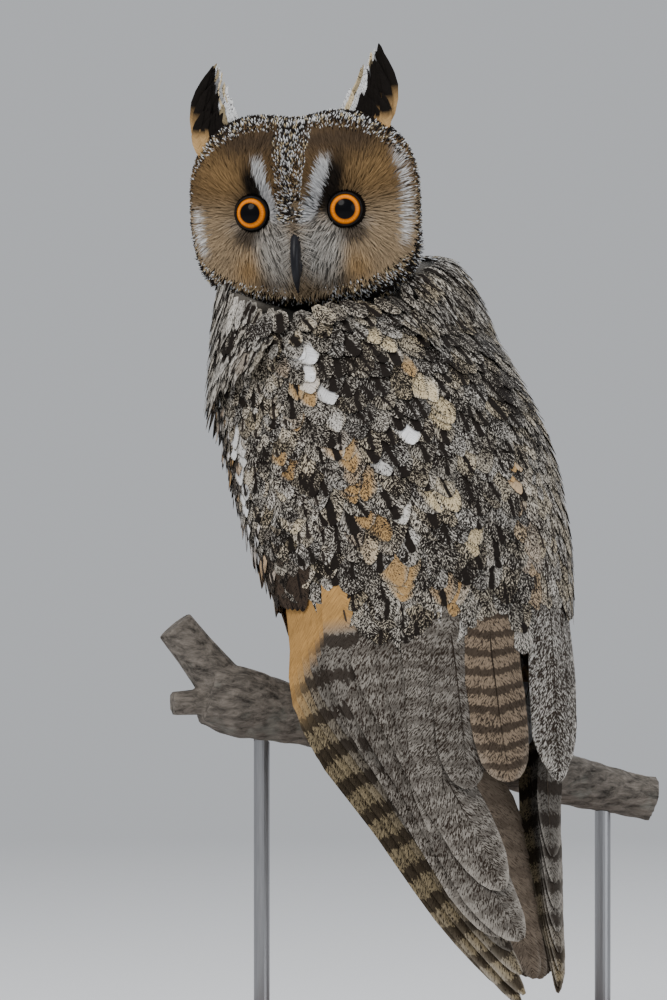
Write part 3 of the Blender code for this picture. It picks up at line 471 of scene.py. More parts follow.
class Coat:
    """Gathers feathers, then makes them one piece.

    A feather is a thin closed blade: points across its top from edge to edge, and one under the shaft, at each
    station along its path. Its point is path + side * u * half width + normal * (roll * u - camber * u^2).
    """

    def __init__(self):
        self.points, self.corners, self.starts, self.counts = [], [], [], 0
        self.layers = {name: [] for name in ("vane", "weave", "tone", "ink", "mark")}
        self.places = []

    def add(
        self, path, normal, half, shape, paint, root, rng, across=5, camber=0.12, roll=0.0, thick=0.22, ragged=0.0
    ):
        """Adds blades along paths, coloured by paint, with their roots' places on the unwrap."""
        stations, widths = shape
        count, steps = path.shape[:2]
        along = unit(np.gradient(path, axis=1))
        side = unit(np.cross(along, normal))
        over = np.cross(side, along)
        half = np.asarray(half, float)
        half = np.stack([half, half], -1) if half.ndim == 1 else half
        u = np.append(np.linspace(-1, 1, across), 0.0)
        web = np.where(u[None] < 0, half[:, :1], half[:, 1:])
        width = web[:, None, :] * widths[None, :, None]
        reach = u * width * (1 + ragged * rng.uniform(-1, 1, width.shape))
        roll, camber = (np.broadcast_to(v, count)[:, None, None] for v in (roll, camber))
        rise = roll * reach - camber * np.abs(reach) * np.abs(u)
        bottom = thick * (1 - 0.6 * stations)[None, :] * np.minimum(1, half.mean(1))[:, None]
        rise[..., -1] -= bottom
        points = path[:, :, None] + side[:, :, None] * reach[..., None] + over[:, :, None] * rise[..., None]
        chance = rng.random(count)
        grid_u = np.broadcast_to(u, width.shape)
        grid_v = np.broadcast_to(stations[None, :, None], width.shape)
        length = np.linalg.norm(np.diff(path, axis=1), axis=-1).sum(1)[:, None, None]
        tone, ink, mark = paint(grid_u, grid_v, path, chance, rng)
        own = np.broadcast_to(chance[:, None, None], width.shape)
        layers = {
            "vane": np.stack([grid_u, grid_v, own], -1),
            "weave": np.stack([reach, grid_v * length, own * 97], -1),
            "tone": tone,
            "ink": ink,
            "mark": mark,
        }
        for name, values in layers.items():
            self.layers[name].append(np.broadcast_to(values, width.shape + (3,)).reshape(-1, 3))
        patch = np.stack([grid_u, grid_v * 2 - 1], -1) * PATCH / 2
        self.places.append((root[:, None, None] + patch).reshape(-1, 2))
        ring = across + 1
        base = np.arange(count)[:, None, None] * steps * ring + np.arange(steps - 1)[None, :, None] * ring
        j = np.arange(ring)
        k = (j + 1) % ring
        quads = np.stack([base + j, base + k, base + ring + k, base + ring + j], -1).reshape(-1, 4)
        first = np.arange(count)[:, None] * steps * ring + j[::-1]
        last = np.arange(count)[:, None] * steps * ring + (steps - 1) * ring + j
        offset = sum(len(p) for p in self.points)
        corners = np.concatenate([quads.ravel(), first.ravel(), last.ravel()]) + offset
        sizes = np.concatenate([np.full(len(quads), 4), np.full(2 * count, ring)])
        starts = np.concatenate([[0], np.cumsum(sizes)[:-1]]) + self.counts
        self.points.append(points.reshape(-1, 3))
        self.corners.append(corners)
        self.starts.append(starts)
        self.counts += len(corners)

    def grow(self, surface, p, q, heading, length, lifts, half, shape, paint, rng, bend=0.0, **how):
        """Feathers that run along a surface from their places on it."""
        path, normal = lay(surface, p, q, heading, length, lifts, shape[0], bend)
        self.add(path, normal, half, shape, paint, surface.unwrap(p, q), rng, **how)

    def build(self, name, material, slot, nodes=()):
        """Makes the gathered blades one mesh with its OFBake unwrap."""
        corners = np.concatenate(self.corners)
        layers = {layer: np.concatenate(values) for layer, values in self.layers.items()}
        mesh = raw_mesh(name, np.concatenate(self.points), corners, np.concatenate(self.starts), layers)
        uv = mesh.uv_layers.new(name="OFBake")
        uv.data.foreach_set("uv", np.concatenate(self.places)[corners].astype(np.float32).ravel())
        return finish_piece(name, mesh, material, slot, nodes, 80)


def new_object(name, data):
    """An object in the scene."""
    made = bpy.data.objects.new(name, data)
    bpy.context.scene.collection.objects.link(made)
    return made


def finish_piece(name, mesh, material, slot, nodes=(), sharp=50):
    """Puts a mesh into the scene as a piece on the one body."""
    mesh.shade_smooth()
    mesh.set_sharp_from_angle(angle=math.radians(sharp))
    mesh.materials.append(material)
    piece = new_object(name, mesh)
    if slot:
        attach(piece, "root")
        if nodes:
            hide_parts(*nodes)
    return piece


def grid_faces(rows, columns):
    """Quads of a grid whose columns close on themselves, as one array of corner indices."""
    j = np.arange(columns)
    k = (j + 1) % columns
    base = np.arange(rows - 1)[:, None] * columns
    return np.stack([base + j, base + k, base + columns + k, base + columns + j], -1).reshape(-1, 4)


def loft(points):
    """A closed mesh through rings of points, with a fan to the middle of each end ring."""
    rows, columns = points.shape[:2]
    quads = grid_faces(rows, columns)
    ends = np.array([points[0].mean(0), points[-1].mean(0)])
    j = np.arange(columns)
    k = (j + 1) % columns
    first = np.stack([k, j, np.full(columns, rows * columns)], -1)
    last = np.stack([j, k, np.full(columns, rows * columns + 1)], -1) + np.array([1, 1, 0]) * (rows - 1) * columns
    corners = np.concatenate([quads.ravel(), first.ravel(), last.ravel()])
    sizes = np.concatenate([np.full(len(quads), 4), np.full(2 * columns, 3)])
    return np.concatenate([points.reshape(-1, 3), ends]), corners, np.concatenate([[0], np.cumsum(sizes)[:-1]])


def raw_mesh(name, points, corners, starts, layers=None):
    """A mesh from points, faces' corner indices and each face's first corner, with vectors kept at the points."""
    mesh = bpy.data.meshes.new(name)
    mesh.vertices.add(len(points))
    mesh.vertices.foreach_set("co", (points * MM).astype(np.float32).ravel())
    mesh.loops.add(len(corners))
    mesh.loops.foreach_set("vertex_index", corners.astype(np.int32))
    mesh.polygons.add(len(starts))
    mesh.polygons.foreach_set("loop_start", starts.astype(np.int32))
    mesh.update(calc_edges=True)
    for layer, values in (layers or {}).items():
        attribute = mesh.attributes.new(layer, "FLOAT_VECTOR", "POINT")
        attribute.data.foreach_set("vector", values.astype(np.float32).ravel())
    return mesh


def join_shells(name, shells, voxel, rounds=0):
    """Closed lofts made one surface by a voxel remesh, then ironed."""
    parts, count, edge = [], 0, 0
    for shell in shells:
        points, corners, starts = loft(shell)
        parts.append((points, corners + count, starts + edge))
        count += len(points)
        edge += len(corners)
    mesh = raw_mesh(name, *(np.concatenate(group) for group in zip(*parts)))
    rough = new_object("rough", mesh)
    remesh = rough.modifiers.new("join", "REMESH")
    remesh.mode, remesh.voxel_size = "VOXEL", voxel * MM
    if rounds:
        ironed = rough.modifiers.new("iron", "SMOOTH")
        ironed.factor, ironed.iterations = 0.5, rounds
    joined = bpy.data.meshes.new_from_object(rough.evaluated_get(bpy.context.evaluated_depsgraph_get()))
    bpy.data.objects.remove(rough)
    bpy.data.meshes.remove(mesh)
    joined.materials.clear()
    joined.name = name
    return joined


def face_outwards(mesh):
    """Turns a closed mesh's faces outwards where its volume, summed over its faces, comes out negative."""
    mesh.calc_loop_triangles()
    corners = np.empty(len(mesh.loop_triangles) * 3, np.int32)
    mesh.loop_triangles.foreach_get("vertices", corners)
    points = np.empty(len(mesh.vertices) * 3, np.float32)
    mesh.vertices.foreach_get("co", points)
    a, b, c = points.reshape(-1, 3)[corners.reshape(-1, 3)].transpose(1, 0, 2)
    if dot(a, np.cross(b, c)).sum() < 0:
        mesh.flip_normals()
    return mesh


# Shader maths


class Value:
    """A shader socket that can be used in sums, products and comparisons."""

    def __init__(self, board, socket):
        self.board, self.socket = board, socket

    def __add__(self, other):
        return self.board.math("ADD", self, other)

    def __sub__(self, other):
        return self.board.math("SUBTRACT", self, other)

    def __rsub__(self, other):
        return self.board.math("SUBTRACT", other, self)

    def __mul__(self, other):
        return self.board.math("MULTIPLY", self, other)

    def over(self, other):
        return self.board.math("MAXIMUM", self, other)

    def size(self):
        return self.board.math("ABSOLUTE", self)

    def sine(self):
        return self.board.math("SINE", self)

    def held(self):
        """The value kept between 0 and 1."""
        return self.board.node("ShaderNodeClamp", {}, {"Value": self})


class Board:
    """A material and the nodes that feed its shader."""

    def __init__(self, name, **constants):
        self.material = bpy.data.materials.new(name)
        self.material.use_nodes = True
        self.tree = self.material.node_tree
        self.shader = self.tree.nodes["Principled BSDF"]
        for socket, value in constants.items():
            self.shader.inputs[socket.replace("_", " ")].default_value = value

    def node(self, kind, settings, inputs, output=0):
        """A node of a kind, with its settings made first, then its sockets' values or links."""
        made = self.tree.nodes.new(kind)
        for name, value in settings.items():
            if name == "stops":
                ramp = made.color_ramp
                while len(ramp.elements) > len(value):
                    ramp.elements.remove(ramp.elements[-1])
                for i, (place, colour) in enumerate(value):
                    element = ramp.elements[i] if i < len(ramp.elements) else ramp.elements.new(place)
                    element.position, element.color = place, (*colour, 1)
            else:
                setattr(made, name, value)
        for name, value in inputs.items():
            self.feed(made.inputs[name], value)
        return Value(self, made.outputs[output])

    def feed(self, socket, value):
        if isinstance(value, Value):
            self.tree.links.new(value.socket, socket)
        elif isinstance(value, tuple) and len(value) == 3 and socket.type == "RGBA":
            socket.default_value = (*value, 1)
        else:
            socket.default_value = value

    def math(self, operation, *values):
        return self.node("ShaderNodeMath", {"operation": operation}, dict(enumerate(values)))

    def attribute(self, name):
        return self.node("ShaderNodeAttribute", {"attribute_name": name}, {}, "Vector")

    def split(self, vector):
        made = self.node("ShaderNodeSeparateXYZ", {}, {0: vector})
        outputs = made.socket.node.outputs
        return [Value(self, outputs[k]) for k in range(3)]

    def join(self, x, y, z):
        return self.node("ShaderNodeCombineXYZ", {}, {0: x, 1: y, 2: z})

    def coordinates(self):
        return self.node("ShaderNodeTexCoord", {}, {}, "Object")

    def stretched(self, scale, turn=(0, 0, 0)):
        """Object coordinates, turned and scaled."""
        inputs = {"Vector": self.coordinates(), "Scale": scale, "Rotation": turn}
        return self.node("ShaderNodeMapping", {}, inputs)

    def noise(self, vector, scale, detail=2.0, roughness=0.55, distortion=0.0):
        inputs = {"Vector": vector, "Scale": scale, "Detail": detail, "Roughness": roughness, "Distortion": distortion}
        return self.node("ShaderNodeTexNoise", {}, inputs)

    def mix(self, share, first, second):
        return self.node("ShaderNodeMix", {"data_type": "RGBA"}, {0: share, 6: first, 7: second}, 2)

    def ramp(self, value, stops):
        return self.node("ShaderNodeValToRGB", {"stops": stops}, {0: value})

    def shade(self, colour, amount):
        """A colour made lighter or darker by a value."""
        return self.node("ShaderNodeVectorMath", {"operation": "SCALE"}, {0: colour, "Scale": amount})

    def bump(self, height, distance, strength=1.0):
        inputs = {"Height": height, "Distance": distance, "Strength": strength}
        self.feed(self.shader.inputs["Normal"], self.node("ShaderNodeBump", {}, inputs))

    def colour(self, value):
        self.feed(self.shader.inputs["Base Color"], value)

    def roughness(self, value):
        self.feed(self.shader.inputs["Roughness"], value)


def dim(colour, share):
    """A colour as a tuple, made darker or lighter."""
    return tuple(min(1, c * share) for c in colour)


def feather_material(name, fine=(1.9, 1.5), bar_period=8.5, crisp=9, patchy=0.5):
    """Feathers coloured by their own attributes.

    Ink covers the tone where noise, finely drawn along and across the barbs, passes a limit set by the speck
    amount and by broad patches over the bird, along the shaft as a ragged streak, and in cross-bars.
    """
    board = Board(name, Roughness=0.8, Specular_IOR_Level=0.1)
    _, v, _ = board.split(board.attribute("vane"))
    across, along, chance = board.split(board.attribute("weave"))
    specks, streak, bars = board.split(board.attribute("mark"))
    barb = along - across.size()
    broad = board.noise(board.coordinates(), 75, 2.0)
    worms = board.noise(board.join(barb * fine[0], across * fine[1], chance), 1.0, 1.3, 0.6, 0.5)
    limit = 0.8 - (specks + (broad - 0.5) * patchy * (specks * 3).held()) * 0.36
    speckled = ((worms - limit) * crisp + 0.5).held()
    ragged = board.noise(board.join(across * 0.8, along * 0.3, chance), 1.0, 2.5)
    line = ((streak * 2.0 - across.size() + (ragged - 0.5) * 3.4) * 1.6).held() * (streak * 6).held() * (v * 5).held()
    wave = (along * (2 * math.pi / bar_period) + (ragged - 0.5) * 4.0 + across.size() * 0.14).sine()
    barred = ((wave - 0.1) * 3).held() * bars
    ink = speckled.over(line).over(barred)
    barbs = board.noise(board.join(barb * 2.2, across * 0.2, chance), 1.0, 2.0, 0.65)
    colour = board.mix(ink, board.attribute("tone"), board.attribute("ink"))
    board.colour(board.shade(colour, barbs * 1.3 + 0.35))
    board.bump(barbs, 0.0004, 0.4)
    return board.material


def bristle_material(name):
    """Fine bristles in their own tone, a little darker at the root and streaked along their length."""
    board = Board(name, Roughness=0.85, Specular_IOR_Level=0.1)
    _, v, chance = board.split(board.attribute("vane"))
    across, along, seed = board.split(board.attribute("weave"))
    strands = board.noise(board.join(across * 5.0, along * 0.4, seed), 1.0, 1.0)
    board.colour(board.shade(board.attribute("tone"), v * 0.25 + (strands - 0.5) * 0.6 + chance * 0.3 + 0.68))
    board.bump(strands, 0.0002, 0.3)
    return board.material


# The owl's markings, each a function of place


INK = np.array([0.010, 0.0075, 0.006])
DARK_BROWN = np.array([0.040, 0.028, 0.020])
BROWN = np.array([0.13, 0.095, 0.065])
GREY = np.array([0.42, 0.38, 0.33])
PALE = np.array([0.66, 0.62, 0.56])
WHITE = np.array([0.86, 0.86, 0.86])
CREAM = np.array([0.70, 0.56, 0.34])
BUFF = np.array([0.47, 0.29, 0.125])
TAWNY = np.array([0.155, 0.096, 0.045])
SAND = np.array([0.335, 0.245, 0.150])
ORANGE = np.array([0.47, 0.26, 0.085])
TERTIAL_BROWN = np.array([0.24, 0.18, 0.125])
TAIL_BROWN = np.array([0.20, 0.155, 0.115])

# Spots on the back: distance down, angle, radius and colour
SPOTS = (
    (27, -47, 3.5, CREAM), (33, -49, 3.2, CREAM), (38, -50, 3.4, WHITE), (45, -51, 3.4, WHITE), (51, -50, 2.8, WHITE),
    (58, -48, 3.2, WHITE), (68, -47, 3.4, PALE), (90, -38, 4.6, WHITE), (110, -32, 4.2, WHITE), (77, -24, 3.2, WHITE),
    (80, -46, 5.5, BUFF), (76, -70, 5.0, BUFF), (44, -62, 3.5, BUFF), (53, -55, 4.0, BUFF), (33, -76, 4.0, BUFF),
    (92, -46, 4.5, BUFF), (109, -45, 6.5, BUFF), (128, -35, 5.5, BUFF), (102, -17, 4.2, CREAM), (136, -31, 4.5, CREAM),
    (137, -18, 4.0, BUFF), (34, -19, 4.5, CREAM), (41, -15, 4.5, CREAM), (48, -14, 4.5, BUFF), (56, -12, 4.5, CREAM),
    (65, -10, 4.2, CREAM), (73, -9, 4.0, CREAM), (62, -94, 4.5, WHITE), (71, -96, 4.8, WHITE), (80, -98, 4.8, WHITE),
    (98, -70, 4.0, CREAM), (150, -21, 5.0, PALE), (150, -6, 5.0, PALE), (118, -8, 3.5, CREAM), (64, -62, 3.0, BUFF),
)


def blend_to(base, colour, amount):
    """From the base at amount 0 to the colour at amount 1."""
    return base + (colour - base) * amount[..., None]


def back_markings(points):
    """Greyish white with warm cream here and there, and the scapulars' white, cream and orange spots by place.

    Gives the tone, the spots' colour, how far it covers the tone, and how free of specks it is.
    """
    down, theta = body_place(points)
    warm = 0.5 + 0.5 * np.sin(down * 0.31 + theta * 0.19) * np.cos(theta * 0.11 - down * 0.07)
    tone = blend_to(np.broadcast_to(PALE, points.shape), CREAM, 0.75 * warm**2)
    spot, cover, plain = tone, np.zeros(down.shape), np.zeros(down.shape)
    girth = half_width(down) * 0.95
    for spot_down, spot_theta, radius, colour in SPOTS:
        gap = np.hypot((down - spot_down) * 0.85, np.radians(theta - spot_theta) * girth)
        near = ease((1.4 - gap / radius) * 1.6)
        spot = blend_to(spot, colour, near)
        cover = np.maximum(cover, near)
        plain = np.maximum(plain, near * (0.85 if colour is WHITE else 0.32))
    return tone, spot, cover, plain


def spread(value, u):
    """One value, or one for each feather, over all points of the feathers."""
    value = np.asarray(value, float)
    return np.broadcast_to(value[:, None, None] if value.ndim == 1 else value, u.shape)


def tint(colour, u):
    """One colour, or one for each feather, over all points of the feathers."""
    return np.broadcast_to(colour if np.ndim(colour) == 1 else colour[:, None, None], u.shape + (3,))


def marking(u, specks, streak=0.0, bars=0.0):
    """How much ink goes into specks, the shaft's streak and cross-bars."""
    return np.stack([spread(amount, u) for amount in (specks, streak, bars)], -1)


def varied(count, least, more, rng):
    """A column of random factors, one for each feather."""
    return least + more * rng.random((count, 1))


def paint_back(u, v, path, chance, rng):
    """Mantle and scapulars: speckled all over, with a blackish streak on the shaft of most feathers."""
    tone, spot, cover, plain = back_markings(path[:, -3])
    worn = varied(len(path), 0.58, 0.4, rng)
    inside = ease((v - 0.42) / 0.22) * ease((1.12 - np.abs(u)) / 0.4)
    colour = blend_to(tint(tone * worn, u), tint(spot * (0.8 + 0.2 * worn), u), spread(cover, u) * inside)
    specks = spread(0.95 + 0.18 * rng.random(len(path)), u) * (1 - spread(plain, u) * inside)
    streak = np.where(chance < 0.62, 0.3 + 0.8 * rng.random(len(path)), 0.0) * (plain < 0.3)
    return colour, tint(INK * 1.4, u), marking(u, specks, streak)


def paint_fine(u, v, path, chance, rng):
    """Coverts: fine hatching on brown, orange at the far wing's bend, and dark over the near wing's hand."""
    down, theta = body_place(path[:, -2])
    tone = PALE * varied(len(path), 0.8, 0.3, rng)
    tone = blend_to(tone, CREAM, 0.6 * rng.random(len(path)))
    bend = ease(1.6 - np.hypot((down - 92) / 12, (theta - 10) / 7))
    rim = bell(theta - np.interp(down, [80, 100, 130, 175], [8, 10, 17, 32]), 4.5) * (down > 80)
    tone = blend_to(tone, BUFF * 1.1, np.maximum(bend, 0.6 * rim))
    hand = ease((-theta - 76) / 8) * ease((down - 92) / 10)
    alula = ease(1.5 - np.hypot((down - 66) / 12, (theta + 104) / 7))
    tone = blend_to(tone, DARK_BROWN * 1.3, np.maximum(0.92 * hand, 0.9 * alula))
    specks = (0.86 + 0.12 * rng.random(len(path))) * (1 - 0.8 * bend)
    streak = np.where(chance < 0.3, 0.5, 0.0) * (bend < 0.5)
    ink = blend_to(np.broadcast_to(INK * 2.6, tone.shape), INK, hand)
    return tint(tone, u), tint(ink, u), marking(u, specks, streak)


def paint_breast(u, v, path, chance, rng):
    """Buff and white, each feather with a bold dark shaft streak and thin cross-bars."""
    warm = rng.random((len(path), 1))
    tone = BUFF * 0.9 * warm + WHITE * 0.85 * (1 - warm)
    tone = tone * varied(len(path), 0.85, 0.3, rng)
    return tint(tone, u), tint(INK * 2, u), marking(u, 0.3, 0.35 + 0.5 * chance, 0.35)


def paint_neck(u, v, path, chance, rng):
    """Hackles: whitish with long dark centres at the sides, and as dark and finely speckled as the back behind."""
    theta = body_place(path[:, 2])[1]
    side = ease((np.abs(theta + 6) - 44) / 26)
    back, spot, cover, plain = back_markings(path[:, -2])
    tone = blend_to(blend_to(back, spot, cover), PALE * 0.9, 0.7 * side) * varied(len(path), 0.55, 0.5, rng)
    specks = (0.98 - 0.34 * side) * (1 - 0.9 * plain)
    streak = np.where(chance < 0.35 + 0.3 * side, 0.3 + 0.5 * rng.random(len(path)), 0.0) * (1 - plain)
    return tint(tone, u), tint(INK * 1.8, u), marking(u, specks, streak)


def face_markings(points):
    """The face's colours by place: tawny discs, white brows and moustache, dark smudges, pale edge and speckled rim.

    Gives the tone and how speckled it is.
    """
    right, _, up = head_place(points)
    share = rim_share(right, up)
    x, side, left = np.abs(right + 2.2 * ease((up + 16) / 12)), np.abs(right), right < 0
    eye = np.hypot(side - EYE_PLACE[0], up - EYE_PLACE[2])
    wide, high = np.where(left, 3.4, 4.3), np.where(left, 7.5, 10.0)
    patch = np.hypot((x - 14.6 - 0.28 * (up - 8)) / wide, (up - 8) / high)
    corner = np.hypot((x - 10.2 - 0.3 * (up - 2)) / 2.0, up / 7.5)
    smudge = np.hypot((side - 19.5) / 6.0, (up + 12) / 3.4)
    brow = np.abs(x - (5.9 + 0.31 * (up + 5)))
    moustache = np.hypot((side - 8.0) / 8.0, (up + 17.5) / 11.5)
    tall = np.where(left, ease((3 - up) / 6) * ease((up + 20) / 6), ease((23 - up) / 8) * ease((up + 19) / 8))
    edge = bell(share - 0.925, 0.03) * tall * ease((side - 26) / 8)
    tone = np.broadcast_to(TAWNY, points.shape)
    for colour, cover in (
        (SAND, ease((9 - up) / 16)),
        (BUFF * 0.62, 0.8 * bell(side - 29, 9) * bell(up - 13, 9)),
        (DARK_BROWN * 1.2, 0.8 * bell(up - 25, 6) * (x > 3) * (1 - ease((side - 24) / 14))),
        (BUFF * 0.8, 0.8 * bell(side - 21, 5) * bell(up + 24.5, 5)),
        (DARK_BROWN, 0.8 * bell(side - 12, 6) * bell(up + 29, 3.2)),
        (GREY * 0.8, 0.5 * bell(eye - 9, 4) * ease((-up - 2) / 6)),
        (INK, 0.98 * np.maximum(ease(1.6 - patch), ease(1.5 - corner))),
        (DARK_BROWN, 0.8 * ease(1.7 - smudge)),
        (INK, 0.8 * bell(eye - 6.6, 0.8)),
        (WHITE * 0.62, ease((3.1 - brow) / 1.3) * ease((up + 9) / 4) * ease((21 - up) / 6)),
        (PALE * 0.66, 0.95 * (ease(1.5 - moustache) * ease((3 - up) / 6))),
        (BROWN * 0.8, 0.8 * bell(right + 0.5, 1.8) * bell(up + 6, 6)),
        (WHITE * 0.9, 0.95 * edge),
    ):
        tone = blend_to(tone, colour, cover)
    wedge = ease((4.3 + 0.09 * (up + 5) - x) / 1.4 + 0.3) * ease((up + 7) / 4)
    limit = 0.945 - 0.17 * ease((up - 10) / 20) - 0.2 * ease((-up - 18) / 14)
    band = ease((share - limit) / 0.03)
    return tone, np.clip(np.maximum(wedge, band) * (1 - 0.8 * edge), 0, 1)


def paint_disc(u, v, path, chance, rng):
    """Each bristle in the tone of its place, with a dark one here and there among the pale ones."""
    tone = face_markings(path[:, 2])[0] * varied(len(path), 0.75, 0.4, rng)
    right, _, up = head_place(path[:, 2])
    dark = (rng.random(len(path)) < 0.22) & (np.abs(right) < 15) & (up < 4)
    tone = np.where(dark[:, None], tone * 0.22, tone)
    return tint(tone, u), tint(tone, u), marking(u, 0.0)


def paint_dots(dark):
    """Little blackish feathers tipped with white, cream or nothing by chance; dark is the share kept untipped."""

    def paint(u, v, path, chance, rng):
        count = len(path)
        pick = rng.random(count)[:, None]
        tip = np.where(pick < 0.38, WHITE * 0.85, np.where(pick < 0.52, CREAM * 0.75, INK * 2))
        tip = np.where(rng.random((count, 1)) < dark[:, None], INK, tip) * varied(count, 0.7, 0.35, rng)
        tone = blend_to(tint(INK * 1.5, u), tint(tip, u), ease((v - 0.5) / 0.2))
        return tone, tone, marking(u, 0.0)

    return paint


def paint_flat(colour, ink=INK * 2, marks=(0.3, 0.3, 0.0), vary=0.3):
    """A paint of one tone, varied a little from feather to feather."""

    def paint(u, v, path, chance, rng):
        tone = colour * varied(len(path), 1 - vary / 2, vary, rng)
        return tint(tone, u), tint(ink, u), marking(u, *marks)

    return paint


def paint_flight(tone, ink, specks, bars, fringe, warm=0.0, warm_span=(0.3, 0.4)):
    """Flight feathers: speckled, crossed by bars, softly fringed at the tip, with an orange base that ends in a span.

    Each value is one number, or one for each feather.
    """

    def paint(u, v, path, chance, rng):
        colour = tint(tone * varied(len(path), 0.85, 0.3, rng), u)
        soft = spread(fringe, u) * ease((np.abs(u) * 0.4 + v - 1.12) / 0.25)
        start, end = (spread(edge, u) for edge in warm_span)
        orange = spread(warm, u) * (1 - ease((v - start) / (end - start)))
        colour = blend_to(blend_to(colour, GREY * 0.9, soft), ORANGE, orange)
        keep = (1 - 0.9 * orange) * (1 - 0.7 * soft)
        return colour, tint(ink, u), marking(u, spread(specks, u) * keep, 0.0, spread(bars, u) * keep)

    return paint


# What a user can change


def length_setting(name, description, default, least, most):
    return FloatProperty(name=name, description=description, default=default, min=least, max=most, unit="LENGTH")


def colour_setting(name, description, default):
    return FloatVectorProperty(name=name, description=description, default=default, subtype="COLOR", min=0, max=1)


class OwlSizes(bpy.types.PropertyGroup):
    skin_depth: length_setting("Skin depth", "How far the skin lies inside the body's coat", 0.005, 0.003, 0.012)
    face_depth: length_setting("Face depth", "How far the skin lies inside the face's bristles", 0.0016, 0.001, 0.006)
    back_feather: length_setting("Back feather", "Length of the longest scapular feathers", 0.034, 0.02, 0.05)
    bristle: length_setting("Bristle", "Length of a bristle in the facial disc", 0.0056, 0.003, 0.012)
    floor_radius: length_setting("Floor radius", "Distance at which the pale floor has faded out", 2.0, 0.5, 6.0)


class OwlColours(bpy.types.PropertyGroup):
    iris: colour_setting("Iris", "Bright part of the iris", (0.80, 0.215, 0.002))
    bill: colour_setting("Bill", "Horn of bill and claws", (0.007, 0.007, 0.009))
    bark: colour_setting("Bark", "Weathered bark", (0.23, 0.20, 0.17))
    oak: colour_setting("Oak", "Waxed wood of the base", (0.16, 0.08, 0.04))
    floor: colour_setting("Floor", "Pale studio floor", (0.72, 0.72, 0.73))


SKIN_VOXEL, SKIN_ROUNDS, BARK_VOXEL = 1.4, 4, 0.9
FLESH = ("torso", "neck", "head", "leg_left", "leg_right", "foot_left", "foot_right")


class OWL_OT_skin(bpy.types.Operator):
    """Make one skin under all the feathers, from torso, neck, head, legs and toes"""

    bl_idname = "owl.skin"
    bl_label = "Skin"

    def execute(self, context):
        sizes = context.scene.owl_sizes
        depth = sizes.skin_depth / MM
        shells = [self.body(depth), self.neck(depth * 0.7), self.head(sizes.face_depth / MM)]
        for side in (-1, 1):
            shells += [self.leg(side)] + self.toes(side)
        joined = join_shells("skin", shells, SKIN_VOXEL, SKIN_ROUNDS)
        self.mark(joined)
        finish_piece("skin", joined, skin_material(), "body_feathers", FLESH, 180)
        return {"FINISHED"}

    def body(self, depth):
        """Rings of the outline, each point moved in towards the axis by the coat's depth and the wings' room.

        The rings start lower under the chin.
        """
        share, theta = ring_grid((0, 1), 60, HALF_CIRCLES, 72)
        top = 6 + 12 * bell(theta - CHIN_ANGLE, CHIN_SPREAD)
        down = top + (186 - top) * share
        room = smooth(WING_ROOM, 1, down) * ease((down - 96) / 30)
        ends = 24 * ease((down - 160) / 30) + 10 * ease((top + 12 - down) / 14)
        point = body_point(down, theta)
        middle = BODY.middle(down, theta)
        radius = np.linalg.norm(point - middle, axis=-1)
        inset = np.minimum(depth + room + ends, radius * 0.72)
        return middle + (point - middle) * (1 - inset / radius)[..., None]

    def neck(self, depth):
        """The neck's rings, moved in along their normals, and sunk under the chin."""
        share, theta = ring_grid((0.02, 1.1), 30, HALF_CIRCLES, 72)
        points = neck_point(share, theta) - NECK.frame(share, theta)[2] * depth
        points[..., 2] -= 13 * bell(theta - CHIN_ANGLE, CHIN_SPREAD) * ease(1.3 - share)
        return points

    def head(self, depth):
        """The head's rings, moved in along their normals."""
        polar, turn = ring_grid((0.02, 1.98), 60, TURN, 80)
        return head_point(polar, turn) - HEAD.frame(polar, turn)[2] * (depth + 2.0 * ease(polar - 1))[..., None]

    def leg(self, side):
        """The leg's tube, thinner by the depth of its down."""
        return leg_surface(side, -2.2).point(*ring_grid((0, 1), 16, CIRCLE, 24))

    def toes(self, side):
        """The toes' tubes, thinner by the depth of their down."""
        return [toe_surface(side, toe, -0.8).point(*ring_grid((0, 1), 14, CIRCLE, 16)) for toe in range(4)]

    def mark(self, mesh):
        """Keeps the coat's tone at each of the skin's points, darkened as painted shade."""
        points = np.empty(len(mesh.vertices) * 3, np.float32)
        mesh.vertices.foreach_get("co", points)
        tone = skin_tone_with_painted_shade(points.reshape(-1, 3).astype(float) / MM)
        attribute = mesh.attributes.new("tone", "FLOAT_VECTOR", "POINT")
        attribute.data.foreach_set("vector", tone.astype(np.float32).ravel())


def skin_tone_with_painted_shade(points):
    """The coat's markings at each place, darkened as painted shade: the face's on the head, the back's or the breast's
    below, the body's nearly black so that gaps between the feathers read as shadow.
    """
    _, forward, up = head_place(points)
    on_head = ease((54 - np.linalg.norm(points - HEAD_CENTRE, axis=-1)) / 6) * ease((up + 40) / 6)
    face, speckled = face_markings(points)
    # Painted shade: the face's skin is its own markings a little darker, and dark grey under the speckles and behind
    # the face.
    face = blend_to(face * 0.85, GREY * 0.4, speckled)
    head = blend_to(np.broadcast_to(GREY * 0.4, points.shape), face, ease((forward - 2) / 6))
    # Painted shade: the body's skin is the back's tone times 0.035, and dark buff under the breast, so that gaps
    # between the feathers read as shadow.
    body = blend_to(back_markings(points)[0] * 0.035, BUFF * 0.3, ease((np.abs(body_place(points)[1]) - 96) / 12))
    return blend_to(body, head, on_head)


def skin_material():
    """The coat's tone at each point, darkened as painted shade, broken up by fine noise like down."""
    board = Board("skin_plumage", Roughness=0.85, Specular_IOR_Level=0.2)
    down = board.noise(board.coordinates(), 700, 3.0, 0.6)
    board.colour(board.shade(board.attribute("tone"), down * 1.1 + 0.4))
    board.bump(down, 0.0008, 0.6)
    return board.material


